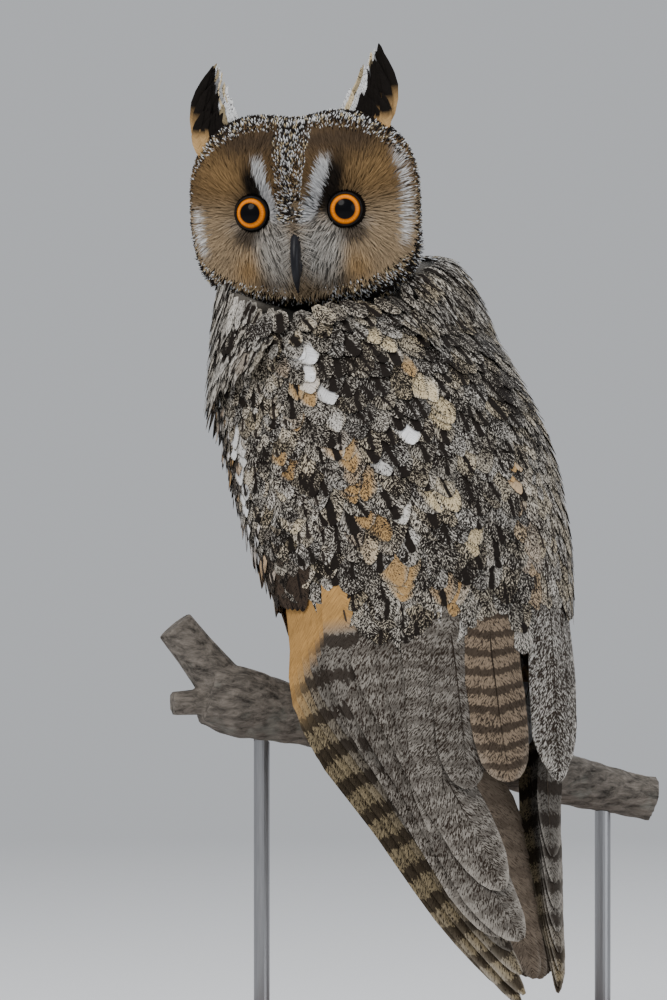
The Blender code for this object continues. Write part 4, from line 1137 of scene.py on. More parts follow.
def leg_surface(side, grow):
    """A leg as a tube from inside the belly to the ankle over the branch."""
    top = in_body(124, side * 17, -16)
    ankle = round_perch(np.array(side * FOOT_SPREAD), np.array(4.0), 5.0)
    path = np.array([top + (ankle - top) * t for t in (0, 0.3, 0.6, 0.85, 1.0)])
    radii = np.array([12.0, 11.8, 10.0, 8.3, 7.4]) + grow
    point = tube_surface(path, radii, PERCH_FRONT)
    return Surface(point, lambda p, q: top + (ankle - top) * np.asarray(p)[..., None], (0, 1), CIRCLE)


def toe_surface(side, toe, grow):
    """One toe as a tube over the branch."""
    start, end, way = TOE_SPREAD[toe]
    share = np.linspace(0, 1, 7)
    radii = np.interp(share, [0, 0.5, 1], [3.7, 3.5, 2.9])
    path = round_perch(side * (FOOT_SPREAD + start + (end - start) * share), way * (2 + 94 * share), radii + 0.3)
    point = tube_surface(path, radii + grow, PERCH_ALONG)

    return Surface(point, lambda p, q: between(p, share, path) + 0 * np.asarray(q)[..., None], (0, 1), CIRCLE)


class OWL_OT_back(bpy.types.Operator):
    """Make the mantle and scapulars"""

    bl_idname = "owl.back"
    bl_label = "Back"

    def execute(self, context):
        rng = np.random.default_rng(11)
        longest = context.scene.owl_sizes.back_feather / MM
        coat = Coat()
        p, q = scatter(BODY, (14, 152), (-118, 46), 4.7, 6.9, rng)
        length = np.interp(p, [14, 60, 110, 150], [13, 21, longest * 0.9, longest])
        edge = np.interp(p, [20, 60, 83, 185], [46, 34, 12, 10])
        foot = np.interp(q, [-118, -98, -80, -46, -10, 20], [80, 98, 126, 154, 162, 168])
        lowest_first = np.flatnonzero((q < edge) & (p + length * 0.92 < foot))[::-1]
        p, q, length = picked(lowest_first, p, q, length)
        swing = np.interp(q, [-118, -60, 0, 46], [-4, 2, 6, 16]) * np.interp(p, [20, 70, 150], [1.4, 1, 0.4])
        swing = swing + rng.normal(0, 5, len(p))
        heading = flow(BODY, p, q, swing)
        half = length * np.interp(p, [20, 150], [0.27, 0.235]) * rng.uniform(0.85, 1.15, len(p))
        lifts = (-2.6 - 3 * ease((26 - p) / 8) + rng.normal(0, 0.2, len(p)), 0.15 + rng.normal(0, 0.15, len(p)))
        path, normal = lay(BODY, p, q, heading, length, lifts, OVAL[0], rng.normal(0, 0.08, len(p)))
        p, q, path, normal, half = picked(~over_face(path).any(1), p, q, path, normal, half)
        roll = rng.normal(0.01, 0.03, len(p))
        root = BODY.unwrap(p, q)
        coat.add(path, normal, half, OVAL, paint_back, root, rng, camber=0.06, roll=roll, thick=0.15, ragged=0.12)
        coat.build("coat_back", feather_material("back_feathers", patchy=0.9), "body_feathers")
        return {"FINISHED"}


class OWL_OT_breast(bpy.types.Operator):
    """Make the breast, belly and flanks"""

    bl_idname = "owl.breast"
    bl_label = "Breast"

    def execute(self, context):
        rng = np.random.default_rng(12)
        coat = Coat()
        p, q = scatter(BODY, (22, 158), (96, 264), 5.0, 7.0, rng)
        p, q = picked((q < 244) | (p < 96), p, q)
        q = (q + 180) % 360 - 180
        length = np.interp(p, [20, 80, 158], [18, 24, 26])
        heading = flow(BODY, p, q, rng.normal(0, 6, len(p)))
        lifts = (-4.5, 0.6 + rng.normal(0, 0.5, len(p)))
        coat.grow(BODY, p, q, heading, length, lifts, length * 0.24, LOOSE, paint_breast, rng, camber=0.2)
        coat.build("coat_breast", feather_material("breast_feathers", (1.5, 0.9), 7.0, patchy=0.0), "body_feathers")
        return {"FINISHED"}


class OWL_OT_neck(bpy.types.Operator):
    """Make the hackles from the head down over the shoulders"""

    bl_idname = "owl.neck"
    bl_label = "Neck"

    def execute(self, context):
        rng = np.random.default_rng(13)
        coat = Coat()
        p, q = scatter(NECK, (0.0, 1.0), HALF_CIRCLES, 2.7, 3.0, rng)
        length = np.interp(p, [0, 0.5, 1], [9, 13, 16]) * rng.uniform(0.85, 1.15, len(p))
        lifts = (-2.2, 0.3 + rng.normal(0, 0.3, len(p)))
        swing = rng.normal(0, 8, len(p)) + np.interp(q, [-180, -60, 0, 60, 180], [0, 0, 6, 14, 0])
        path, normal = lay(NECK, p, q, flow(NECK, p, q, swing), length, lifts, LOOSE[0])
        run = np.linalg.norm(np.diff(path, axis=1), axis=-1).sum(1)
        # No hackles grow under the chin, so the darkened skin shows there as painted shade.
        chin = (q > -66 + rng.normal(0, 5, len(q))) & (q < 2 + rng.normal(0, 5, len(q)))
        keep = ~over_face(path).any(1) & (run < 1.5 * length) & ~chin
        p, q, path, normal, length = picked(keep, p, q, path, normal, length)
        root = NECK.unwrap(p, q)
        coat.add(path, normal, length * 0.14, LOOSE, paint_neck, root, rng, across=3, camber=0.1, ragged=0.25)
        coat.build("coat_neck", feather_material("neck_feathers", (0.8, 2.2), crisp=5), "body_feathers")
        return {"FINISHED"}


class OWL_OT_crown(bpy.types.Operator):
    """Make the crown and the back of the head"""

    bl_idname = "owl.crown"
    bl_label = "Crown"

    def execute(self, context):
        rng = np.random.default_rng(14)
        coat = Coat()
        p, q = scatter(HEAD, (1.1, 1.97), TURN, 2.0, 2.2, rng)
        length = np.interp(p, [1, 1.2, 2], [4.5, 8, 12])
        heading = flow(HEAD, p, q, rng.normal(0, 8, len(p))) - 0.9 * UP * ease((p - 1.15) / 0.5)[:, None]
        lifts = (-1.8, 0.2 + rng.normal(0, 0.2, len(p)))
        paint = paint_flat(GREY * 1.2, INK * 1.5, (0.92, 0.35, 0.0), 0.5)
        how = {"across": 3, "camber": 0.1, "ragged": 0.15}
        coat.grow(HEAD, p, q, heading, length, lifts, length * 0.2, LOOSE, paint, rng, **how)
        coat.build("coat_crown", feather_material("crown_feathers", (2.4, 1.6), patchy=0.0), "face_feathers")
        return {"FINISHED"}


def face_heading(points):
    """Away from the nearer eye, and near the middle away from the bill's root."""
    right, _, up = head_place(points)
    side = np.where(right < 0, -1.0, 1.0)
    eye = in_head(side * EYE_PLACE[0], np.full_like(right, EYE_PLACE[1] + 4), np.full_like(right, EYE_PLACE[2]))
    bill = in_head(side * 1.2, np.full_like(right, 24.0), np.full_like(right, -5.0))
    middle = (1.6 * bell(right, 8.5))[:, None]
    droop = -0.35 * bell(up + 14, 12)[:, None] * middle
    return unit(points - eye) + unit(points - bill) * middle + droop * HEAD_UP


class OWL_OT_face(bpy.types.Operator):
    """Make the facial disc's bristles and its rim"""

    bl_idname = "owl.face"
    bl_label = "Face"

    def execute(self, context):
        rng = np.random.default_rng(15)
        bristle = context.scene.owl_sizes.bristle / MM
        material = bristle_material("face_bristles")
        coat = Coat()
        p, q = scatter(HEAD, (0.02, 0.99), TURN, 0.76, 0.72, rng, 0.45)
        points = head_point(p, q)
        right, _, up = head_place(points)
        eye = np.hypot(np.abs(right) - EYE_PLACE[0] - 0.4, up - EYE_PLACE[2])
        speckled = face_markings(points)[1]
        keep = (eye > 6.2) & (self.from_bill(right, up) > 1) & (speckled < 0.35 + 0.5 * rng.random(len(p)))
        p, q, points, eye, right, up = picked(keep, p, q, points, eye, right, up)
        beard = bell(right, 15) * ease((-4 - up) / 10)
        length = bristle * (np.interp(eye, [6.2, 12, 30], [0.4, 0.9, 1.15]) + 0.35 * beard)
        length = length * rng.uniform(0.8, 1.2, len(p))
        half = 0.23 * rng.uniform(0.75, 1.25, len(p))
        raised = 1.9 * beard * bell(np.abs(right) - 3.5, 3.5)
        lifts = (-0.9, 0.25 + rng.normal(0, 0.18, len(p)) + raised + 0.6 * beard)
        heading = face_heading(points) + rng.normal(0, 0.1, (len(p), 3))
        bend = rng.normal(0, 0.08, len(p))
        coat.grow(HEAD, p, q, heading, length, lifts, half, LOCK, paint_disc, rng, bend, across=2, thick=0.3)
        coat.build("coat_face", material, "face_feathers")
        p, q = scatter(HEAD, (0.02, 1.2), TURN, 0.78, 0.74, rng, 0.45)
        points = head_point(p, q)
        right, _, up = head_place(points)
        speckled = face_markings(points)[1] > 0.1 + 0.5 * rng.random(len(p))
        reached = (p < 1.12) | ((p < 1.2) & ((up > 12) | (up < 0)))
        keep = reached & ((p > 0.98) | speckled) & (self.from_bill(right, up) > 1)
        for name, part in (("speckles_crown", keep & (up > 4)), ("speckles_rim", keep & (up <= 4))):
            self.speckles(name, p[part], q[part], material, rng)
        return {"FINISHED"}

    def from_bill(self, right, up):
        """How far a place lies from the bill's middle, where 1 is the edge of the bare oval round it."""
        return np.hypot(right / 1.5, (up + 23) / 8.0)

    def speckles(self, name, p, q, material, rng):
        """Short dotted feathers, longer and raised under the disc, and darker on its very rim and the chin: on the rim
        partly the disc's own dark edge and partly painted shade under it, on the chin painted shade.
        """
        coat = Coat()
        points = head_point(p, q)
        right, _, up = head_place(points)
        under = ease((p - 0.96) / 0.08) * ease((-8 - up) / 16)
        length = (np.interp(p, [0, 1, 1.2], [1.9, 2.1, 3.2]) + 2.6 * under) * rng.uniform(0.8, 1.25, len(p))
        lifts = (-0.7, 0.3 + rng.normal(0, 0.2, len(p)) + 3.2 * under)
        lean = (0.8 * bell(right, 10) * (p < 0.8))[:, None] * HEAD_UP
        heading = unit(flow(HEAD, p, q, rng.normal(0, 16, len(p))) + lean)
        half = 0.32 * rng.uniform(0.75, 1.25, len(p))
        # More dots left blackish on the disc's rim, partly its own dark edge and partly painted shade, and under the
        # chin as painted shade.
        dark = 0.9 * bell(p - 0.985, 0.022) + 0.5 * ease((-up - 27) / 6) * bell(right + 3, 16)
        paint = paint_dots(np.clip(dark, 0, 1))
        coat.grow(HEAD, p, q, heading, length, lifts, half, LOCK, paint, rng, across=2, thick=0.3)
        coat.build(name, material, "face_feathers")


class OWL_OT_eyes(bpy.types.Operator):
    """Make the eyes and the dark lids round them"""

    bl_idname = "owl.eyes"
    bl_label = "Eyes"

    def execute(self, context):
        material = self.material(tuple(context.scene.owl_colours.iris))
        lid = Board("lid", Roughness=0.6, Specular_IOR_Level=0.2)
        grain = lid.noise(lid.coordinates(), 900)
        lid.colour(lid.ramp(grain, [(0.3, (0.002, 0.002, 0.002)), (0.7, (0.012, 0.009, 0.008))]))
        for side, word in SIDES:
            place = in_head(side * EYE_PLACE[0], EYE_PLACE[1], EYE_PLACE[2])
            forward = unit(HEAD_FORWARD + side * EYE_TILT * HEAD_RIGHT)
            across = unit(np.cross(forward, HEAD_UP))
            over = np.cross(across, forward)
            self.ball(word, place, forward, across, over, material)
            self.lids(word, place, forward, across, over, lid.material)
        return {"FINISHED"}

    def ball(self, word, place, forward, across, over, material):
        """A ball whose radius swells by the cornea in front, with each point's place on the iris kept."""
        polar, turn = ring_grid((0.01, math.pi - 0.01), 64, TURN, 64)
        radius = EYE_RADIUS - 0.15 + CORNEA * bell(polar, 0.75)
        out, ahead = radius * np.sin(polar), radius * np.cos(polar)
        points = place + out[..., None] * around(turn, across, over) + ahead[..., None] * forward
        vertices, corners, starts = loft(points)
        dial = np.stack([out * np.cos(turn), out * np.sin(turn), ahead], -1).reshape(-1, 3)
        dial = np.concatenate([dial, [[0, 0, 9], [0, 0, -9]]])
        mesh = face_outwards(raw_mesh(f"eyeball_{word}", vertices, corners, starts, {"dial": dial}))
        finish_piece(f"eyeball_{word}", mesh, material, "eye", (f"eye_{word}",), 180)

    def lids(self, word, place, forward, across, over, material):
        """A ring round the eye, thicker above, whose section is a soft roll that leans over the eyeball."""
        turn, small = np.meshgrid(*(np.linspace(*TURN, count, endpoint=False) for count in (72, 14)), indexing="ij")
        upper = ease(np.sin(turn) * 0.5 + 0.5)
        rim = LID_RADIUS - 0.2 * upper
        width, height = 0.34 + 0.1 * upper, 0.4 + 0.2 * upper
        out = rim + width * (0.9 + np.cos(small))
        ahead = np.sqrt(EYE_RADIUS**2 - rim**2) + height * np.sin(small) - 0.35 * width * np.cos(small)
        points = place + out[..., None] * around(turn, across, over) + ahead[..., None] * forward
        rows, columns = points.shape[:2]
        faces = grid_faces(rows + 1, columns) % (rows * columns)
        mesh = raw_mesh(f"lids_{word}", points.reshape(-1, 3), faces.ravel(), np.arange(len(faces)) * 4)
        finish_piece(f"lids_{word}", face_outwards(mesh), material, "horn", (), 180)

    def material(self, iris):
        """Pupil, iris and dark rim by distance from the eye's middle, streaked outwards, under a wet coat."""
        board = Board("eye", Roughness=0.3, Specular_IOR_Level=0.03, Coat_Weight=0.14, Coat_Roughness=0.03)
        x, y, _ = board.split(board.attribute("dial"))
        distance = board.math("SQRT", x * x + y * y)
        ray = board.node("ShaderNodeVectorMath", {"operation": "NORMALIZE"}, {0: board.join(x, y, 0.0)})
        streaks = board.noise(ray, 9, 2.0)
        pupil = (0.002, 0.002, 0.003)
        stops = [
            (0.0, pupil), (0.455, pupil), (0.475, dim(iris, 0.45)), (0.53, iris), (0.60, dim(iris, 1.2)),
            (0.66, dim(iris, 0.62)), (0.695, dim(iris, 0.2)), (0.72, (0.002, 0.002, 0.002)),
            (1.0, (0.004, 0.003, 0.003)),
        ]
        colour = board.ramp(distance * 0.122, stops)
        board.colour(board.shade(colour, streaks * 0.7 + 0.7))
        return board.material


class OWL_OT_bill(bpy.types.Operator):
    """Make the hooked upper bill and the lower bill"""

    bl_idname = "owl.bill"
    bl_label = "Bill"

    def execute(self, context):
        material = horn_material("bill_horn", tuple(context.scene.owl_colours.bill))
        path = in_head(0, [18, 25.5, 29.6, 31.8, 31.6, 29.2], [-8, -10, -14, -20, -26.5, -32.5])
        self.horn("bill_hooked", path, [2.0, 2.1, 2.2, 2.1, 1.6, 0.35], 1.5, material, "bill_upper")
        path = in_head(0, [20, 25.6, 27.6, 27.8], [-16, -18.5, -22.5, -28])
        self.horn("bill_under", path, [2.9, 2.7, 2.3, 0.6], 1.0, material, "bill_lower")
        return {"FINISHED"}

    def horn(self, name, path, radii, flatten, material, node):
        """A tube along a curve, keeled along its front by narrowing the section there."""
        stops, fine = np.linspace(0, 1, len(path)), np.linspace(0, 1, 40)
        curve = np.stack([smooth(np.stack([stops, path[:, k]], -1), 1, fine) for k in range(3)], -1)
        radius = smooth(np.stack([stops, np.array(radii)], -1), 1, fine)
        _, across, over = path_frames(curve, HEAD_FORWARD)
        turn = np.linspace(0, 2 * math.pi, 32, endpoint=False)
        keel = 1 - 0.12 * np.cos(2 * turn)
        wide, deep = (keel * np.cos(turn))[None, :, None], (flatten * np.sin(turn))[None, :, None]
        points = curve[:, None] + radius[:, None, None] * (wide * across[:, None] + deep * over[:, None])
        mesh = face_outwards(raw_mesh(name, *loft(points)))
        finish_piece(name, mesh, material, "horn", (node,), 180)


def horn_material(name, colour):
    """Dark horn with fine growth lines and a dull gloss."""
    board = Board(name, Coat_Weight=0.04, Coat_Roughness=0.3, Specular_IOR_Level=0.2)
    place = board.coordinates()
    mottled = board.noise(place, 420, 4.0)
    board.colour(board.mix(mottled, dim(colour, 0.6), dim(colour, 2.6)))
    board.roughness(mottled * 0.25 + 0.25)
    board.bump(board.noise(place, 1500, 2.0), 0.0002, 0.25)
    return board.material


# Rows of a tuft's feathers: first and last place along its roots, count, share of its reach, push forward, half width
TUFT_ROWS = (
    (0.0, 0.72, 11, 1.0, 0.0, 2.3), (0.05, 0.7, 10, 0.78, 1.4, 2.1), (0.7, 1.0, 9, 0.96, 0.8, 1.0),
    (0.66, 1.06, 12, 0.7, 2.0, 0.9), (-0.08, 0.3, 9, 0.5, 2.2, 1.5), (0.1, 1.0, 14, 0.34, 2.6, 1.1),
)


class OWL_OT_ear_tufts(bpy.types.Operator):
    """Make the two ear tufts feather by feather"""

    bl_idname = "owl.ear_tufts"
    bl_label = "Ear tufts"

    def execute(self, context):
        material = feather_material("tuft_vanes", patchy=0.0)
        for side, word in SIDES:
            self.tuft(side, word, material)
        return {"FINISHED"}

    def tuft(self, side, word, material):
        """Fans of feathers with roots along the crown's slope and tips that close to a point, bowed outwards."""
        rng = np.random.default_rng(16 + side)
        coat = Coat()
        out, up, steep, reach, lean_out, bow = TUFTS[side]
        slope = unit(HEAD_RIGHT * side - HEAD_UP * steep)
        base = in_head(side * out, 5.0, up)
        rise = unit(HEAD_UP + side * HEAD_RIGHT * lean_out - HEAD_FORWARD * 0.12)
        for row, (first, last, count, share, push, half) in enumerate(TUFT_ROWS):
            t = np.linspace(first, last, count)
            start = base + slope * (8.2 - 16.8 * t)[:, None] + HEAD_FORWARD * (1.9 - 5.0 * t + push)[:, None]
            length = reach * share * (0.70 + 0.30 * np.sin(math.pi * (0.25 + 0.5 * t)))
            parted = (side < 0) & (np.abs(t - 0.62) < 0.07)
            length = length * rng.uniform(0.9, 1.05, count) * np.where(parted, 0.78, 1.0)
            v = POINTED[0][None, :, None]
            closing = -slope * (5.9 * (1 - 2 * t))[:, None, None] * share * v**1.5
            path = start[:, None] + rise * length[:, None, None] * v + closing
            path = path + side * HEAD_RIGHT * bow * share * np.sin(v * math.pi) - HEAD_UP * 3 * (1 - v) ** 3
            path = path + rng.normal(0, 0.12 + 0.25 * (half < 1.6), (count, 1, 3)) * v
            normal = np.broadcast_to(HEAD_FORWARD, path.shape)
            root = np.stack([0.1 + 0.8 * t, 0.1 + 0.14 * row + 0 * t], -1)
            widths = half * rng.uniform(0.85, 1.15, count)
            coat.add(path, normal, widths, POINTED, self.paint(t), root, rng, roll=-0.06, ragged=0.12)
        coat.build(f"tuft_{word}", material, "tuft_feathers", (f"ear_tuft_{word}",))

    def paint(self, t):
        """Black, with the inner feathers white towards the tip and the outer ones buff at the base."""

        def paint(u, v, path, chance, rng):
            inner, outer = spread(ease((t - 0.68) / 0.06), u), spread(ease((0.24 - t) / 0.1), u)
            pale = tint(np.where(rng.random((len(path), 1)) < 0.6, WHITE * 0.92, CREAM), u)
            tone = blend_to(tint(INK * 0.8, u), pale, inner * (1 - 0.5 * spread(rng.random(len(path)) < 0.25, u)))
            tone = blend_to(tone, BUFF * 1.15, outer * (1 - ease((v - 0.36) / 0.2)))
            return tone, tint(INK * 1.5, u), marking(u, 0.55 * inner)

        return paint


# The left wing's secondaries and tertials from the top one down: root, middle and tip, each a distance down and an
# angle, then the outer and inner web
LEFT_UPPER = (
    ((118, -8), (164, -1), (207, -1), 15.5, 12),
    ((110, -30), (168, -17), (208, -26), 12, 11),
    ((108, -38), (168, -25), (212, -43), 12, 12.5),
    ((106, -45), (170, -33), (230, -46), 12, 12.5),
    ((105, -52), (170, -41), (246, -25), 12, 13),
    ((105, -60), (170, -49), (265, -28), 12, 13),
    ((105, -68), (170, -57), (262, -42), 8, 11),
)
# The primaries' tips, from the innermost out: distance down and how far right
LEFT_PRIMARIES = (
    (230, -21), (240, -14), (248, -7), (257, -3), (266, 0), (275, 3), (282, 4), (285, 3), (279, -1), (262, -9),
)
RIGHT_UPPER = (
    ((96, 26), (150, 32), (200, 50), 12, 9),
    ((98, 36), (150, 42), (202, 57), 10, 9),
    ((99, 46), (150, 51), (198, 65), 9, 10),
    ((100, 56), (148, 60), (192, 73), 8, 11),
    ((101, 64), (146, 68), (186, 80), 8, 11),
    ((102, 72), (144, 75), (180, 86), 7, 11),
)
RIGHT_PRIMARIES = (
    (226, 42), (236, 41), (246, 40), (255, 39), (263, 38), (270, 36), (276, 34), (278, 33), (272, 35), (256, 38),
)


class OWL_OT_wings(bpy.types.Operator):
    """Make both folded wings: coverts, secondaries, tertials and primaries"""

    bl_idname = "owl.wings"
    bl_label = "Wings"

    def execute(self, context):
        flight = feather_material("flight_vanes", (1.8, 1.0), 7.0, 7)
        barred = feather_material("primary_vanes", (1.8, 1.0), 13.0, 6)
        hatched = feather_material("hatched_vanes", (1.5, 1.1), 9.0, 8)
        small = feather_material("covert_vanes", (1.8, 1.3))
        self.upper(-1, "left", LEFT_UPPER, flight)
        self.upper(1, "right", RIGHT_UPPER, hatched)
        self.primaries(-1, "left", LEFT_PRIMARIES, barred)
        self.primaries(1, "right", RIGHT_PRIMARIES, barred)
        for side, word in SIDES:
            self.coverts(side, word, small)
        return {"FINISHED"}

    def upper(self, side, word, feathers, material):
        """Secondaries and tertials, each lower in the pile than the one above it."""
        rng = np.random.default_rng(21 + side)
        coat = Coat()
        order = np.arange(len(feathers))
        root, middle, tip = (np.array([f[k] for f in feathers], float) for k in range(3))
        webs = np.array([[f[3], f[4]] for f in feathers], float)
        webs = webs if side < 0 else webs[:, ::-1]
        lift = (2.0 if side < 0 else 0.2) - 0.55 * order[:, None] - 6.0 * (1 - QUILL[0]) ** 3
        path, normal = outline_paths(root, tip, lift, QUILL[0], middle)
        if side < 0:
            tone = np.where(order[:, None] == 0, TERTIAL_BROWN, GREY * 0.6)
            bars, specks = np.where(order == 0, 0.85, 0.5), np.where(order == 0, 0.72, 0.84)
            paint = paint_flight(tone, DARK_BROWN * 0.7, specks, bars, np.where(order > 1, 0.75, 0.3))
        else:
            paint = paint_flight(PALE * 0.95, DARK_BROWN * 0.8, 1.0, 0.2, 0.3)
        roots = BODY.unwrap(*root.T)
        coat.add(path, normal, webs, QUILL, paint, roots, rng, 9, camber=0.19, thick=0.4, ragged=0.03)
        self.shafts(coat, path, normal, roots, DARK_BROWN * 0.6, rng)
        coat.build(f"secondaries_{word}", material, "flight_feathers", (f"wing_{word}_arm",))

    def shafts(self, coat, path, normal, roots, colour, rng):
        """A thin quill down the middle of each feather, just over its top."""
        path, normal = (
            np.stack([between(SHAFT[0] * 0.97, QUILL[0], feather) for feather in group]) for group in (path, normal)
        )
        half, paint = np.full(len(path), 0.42), paint_flat(colour, marks=(0, 0, 0))
        coat.add(path + 0.25 * normal, normal, half, SHAFT, paint, roots, rng, 3, thick=0.4)

    def primaries(self, side, word, tips, material):
        """Ten primaries from under the coverts; the near wing's curve down on to the tail."""
        rng = np.random.default_rng(23 + side)
        coat = Coat()
        tips = np.array(tips, float)
        t = np.linspace(0, 1, len(tips))
        tip = np.stack([tips[:, 0], theta_at(tips[:, 0], tips[:, 1])], -1)
        root = np.stack([np.full_like(t, 108), side * ((62 + 40 * t) if side < 0 else (80 + 20 * t))], -1)
        v = QUILL[0]
        if side < 0:
            lift = 1.0 - 3.0 * t[:, None] - 4.5 * (1 - v) ** 10 - (8.2 + 2.2 * t[:, None]) * v**2
        else:
            lift = -4.5 - 5.4 * t[:, None] - 2.7 * v + 0.2 * t[:, None] * v
        path, normal = outline_paths(root, tip, lift, v, bow=1.35 + 0.95 * t)
        webs = np.stack([np.full_like(t, 4.2), 10 - 4 * t], -1)
        webs = webs if side < 0 else webs[:, ::-1]
        warm = 0.97 if side < 0 else 0.4
        tone = blend_to(np.broadcast_to(GREY * 0.45, (len(t), 3)), CREAM * 0.42, ease((t - 0.35) / 0.3))
        paint = paint_flight(tone, DARK_BROWN * 0.6, 0.7, 0.9, 0.7, warm, (0.27 + 0.03 * t, 0.29 + 0.03 * t))
        roots = BODY.unwrap(*root.T)
        coat.add(path, normal, webs, QUILL, paint, roots, rng, 7, camber=0.12, roll=-0.04 * side, thick=0.4)
        self.shafts(coat, path, normal, roots, BROWN * 0.5, rng)
        coat.build(f"primaries_{word}", material, "flight_feathers", (f"wing_{word}_hand",))

    def coverts(self, side, word, material):
        """Small, median and greater coverts over the wing's arm and hand, in rows that lengthen down the wing."""
        rng = np.random.default_rng(25 + side)
        coat = Coat()
        span = (9, 106) if side > 0 else (-106, -60)
        p, q = scatter(BODY, (24, 118), span, 4.6, 5.4, rng)
        length = np.interp(p, [24, 70, 118], [12, 18, 30])
        foot = np.interp(np.abs(q), [9, 40, 70, 106], [172, 158, 140, 112] if side > 0 else [120, 130, 130, 122])
        keep = (np.abs(q) > np.interp(p, [24, 60, 80], [40, 30, 0])) & (p + length < foot)
        p, q, length = picked(keep, p, q, length)
        heading = flow(BODY, p, q, rng.normal(0, 4, len(p)) + side * np.interp(np.abs(q), [9, 100], [10, 2]))
        lifts = (-2.8, 0.1 + rng.normal(0, 0.15, len(p)))
        how = {"camber": 0.06, "thick": 0.15, "ragged": 0.1}
        coat.grow(BODY, p, q, heading, length, lifts, length * 0.2, OVAL, paint_fine, rng, **how)
        if side < 0:
            self.primary_coverts(coat, rng)
        coat.build(f"coverts_{word}", material, "flight_feathers")

    def primary_coverts(self, coat, rng):
        """The dark row over the roots of the near wing's primaries."""
        t = np.linspace(0, 1, 9)
        root = np.stack([92 - 4 * t, -76 - 34 * t], -1)
        tip = np.stack([130 - 10 * t, -80 - 24 * t], -1)
        lift = 0.2 - 0.15 * np.arange(9)[:, None] - 4.5 * (1 - OVAL[0]) ** 3
        path, normal = outline_paths(root, tip, lift, OVAL[0])
        paint = paint_flat(DARK_BROWN * 1.2, INK, (0.6, 0.4, 0.0), 0.6)
        half, roots = np.full(9, 5.4), BODY.unwrap(*root.T)
        coat.add(path, normal, half, OVAL, paint, roots, rng, camber=0.06, thick=0.2, ragged=0.05)


class OWL_OT_tail(bpy.types.Operator):
    """Make the tail's twelve feathers"""

    bl_idname = "owl.tail"
    bl_label = "Tail"

    def execute(self, context):
        """Straight quills in pairs from the tail's root, the middle pair on top."""
        rng = np.random.default_rng(31)
        coat = Coat()
        pair = np.repeat(np.arange(6), 2)
        side = np.tile([-1.0, 1.0], 6)
        v = QUILL[0][None]
        down = 190 + (272 - 1.2 * pair[:, None] - 190) * v
        start, end = 14 + side * (1.5 + 2.5 * pair), 23 + side * (1.6 + 2.3 * pair)
        across = start[:, None] + (end - start)[:, None] * v
        level = 0.8 - 0.92 * (pair + 0.5 * (side > 0))[:, None] - 2.4 * v
        path = in_body(down, across, level)
        normal = np.broadcast_to(BACK, path.shape)
        paint = paint_flight(TAIL_BROWN, DARK_BROWN * 1.2, 0.6, 0.35, 0.3)
        root = np.stack([0.5 + side * (0.02 + 0.05 * pair), 0.6 + 0 * side], -1)
        coat.add(path, normal, np.full(12, 7.2), QUILL, paint, root, rng, 7, camber=0.04, thick=0.4, ragged=0.06)
        coat.build("tail_vanes", feather_material("tail_vanes", (2.4, 0.7), 10.0, 5), "flight_feathers", ("tail",))
        return {"FINISHED"}


class OWL_OT_legs(bpy.types.Operator):
    """Make the feathered legs and toes"""

    bl_idname = "owl.legs"
    bl_label = "Legs"

    def execute(self, context):
        rng = np.random.default_rng(41)
        material = feather_material("leg_down", (1.2, 0.8), patchy=0.0)
        for side, word in SIDES:
            coat = Coat()
            leg = leg_surface(side, 0.0)
            p, q = scatter(leg, (0.02, 0.98), CIRCLE, 2.2, 2.4, rng)
            length = 8.0 * rng.uniform(0.8, 1.2, len(p))
            path, normal = lay(leg, p, q, flow(leg, p, q, rng.normal(0, 9, len(p))), length, (-1.8, 0.8), LOCK[0])
            paint = paint_flat(BUFF * 0.95, BROWN, (0.25, 0.0, 0.0), 0.35)
            coat.add(path, normal, length * 0.16, LOCK, paint, leg.unwrap(p, q) * 0.45, rng, across=3)
            for toe in range(4):
                surface = toe_surface(side, toe, 0.0)
                p, q = scatter(surface, (0.0, 0.94), CIRCLE, 1.5, 1.5, rng)
                length = 3.4 * rng.uniform(0.8, 1.2, len(p))
                heading = flow(surface, p, q, rng.normal(0, 9, len(p)))
                path, normal = lay(surface, p, q, heading, length, (-0.7, 0.25), LOCK[0])
                root = surface.unwrap(p, q) * 0.22 + np.array([0.5, 0.24 * toe])
                coat.add(path, normal, length * 0.16, LOCK, paint, root, rng, across=3)
            coat.build(f"coat_leg_{word}", material, "leg_feathers")
        return {"FINISHED"}


class OWL_OT_claws(bpy.types.Operator):
    """Make the eight claws"""

    bl_idname = "owl.claws"
    bl_label = "Claws"

    def execute(self, context):
        material = horn_material("claw_horn", tuple(context.scene.owl_colours.bill))
        share = np.linspace(0, 1, 20)
        for side, word in SIDES:
            for toe, (_, end, way) in enumerate(TOE_SPREAD):
                radii = np.interp(share, np.linspace(0, 1, 5), [1.75, 1.65, 1.25, 0.8, 0.2])
                along = side * (FOOT_SPREAD + end + 0.5 * share)
                path = round_perch(along, way * (97 + 50 * share), radii + 0.9 + 1.28 * np.sin(share * math.pi))
                points = tube_surface(path, radii, PERCH_ALONG)(*ring_grid((0, 1), 20, CIRCLE, 16))
                mesh = face_outwards(raw_mesh(f"claw_{word}_{toe + 1}", *loft(points)))
                finish_piece(f"claw_{word}_{toe + 1}", mesh, material, "horn", (f"foot_{word}_claw_{toe + 1}",), 180)
        return {"FINISHED"}


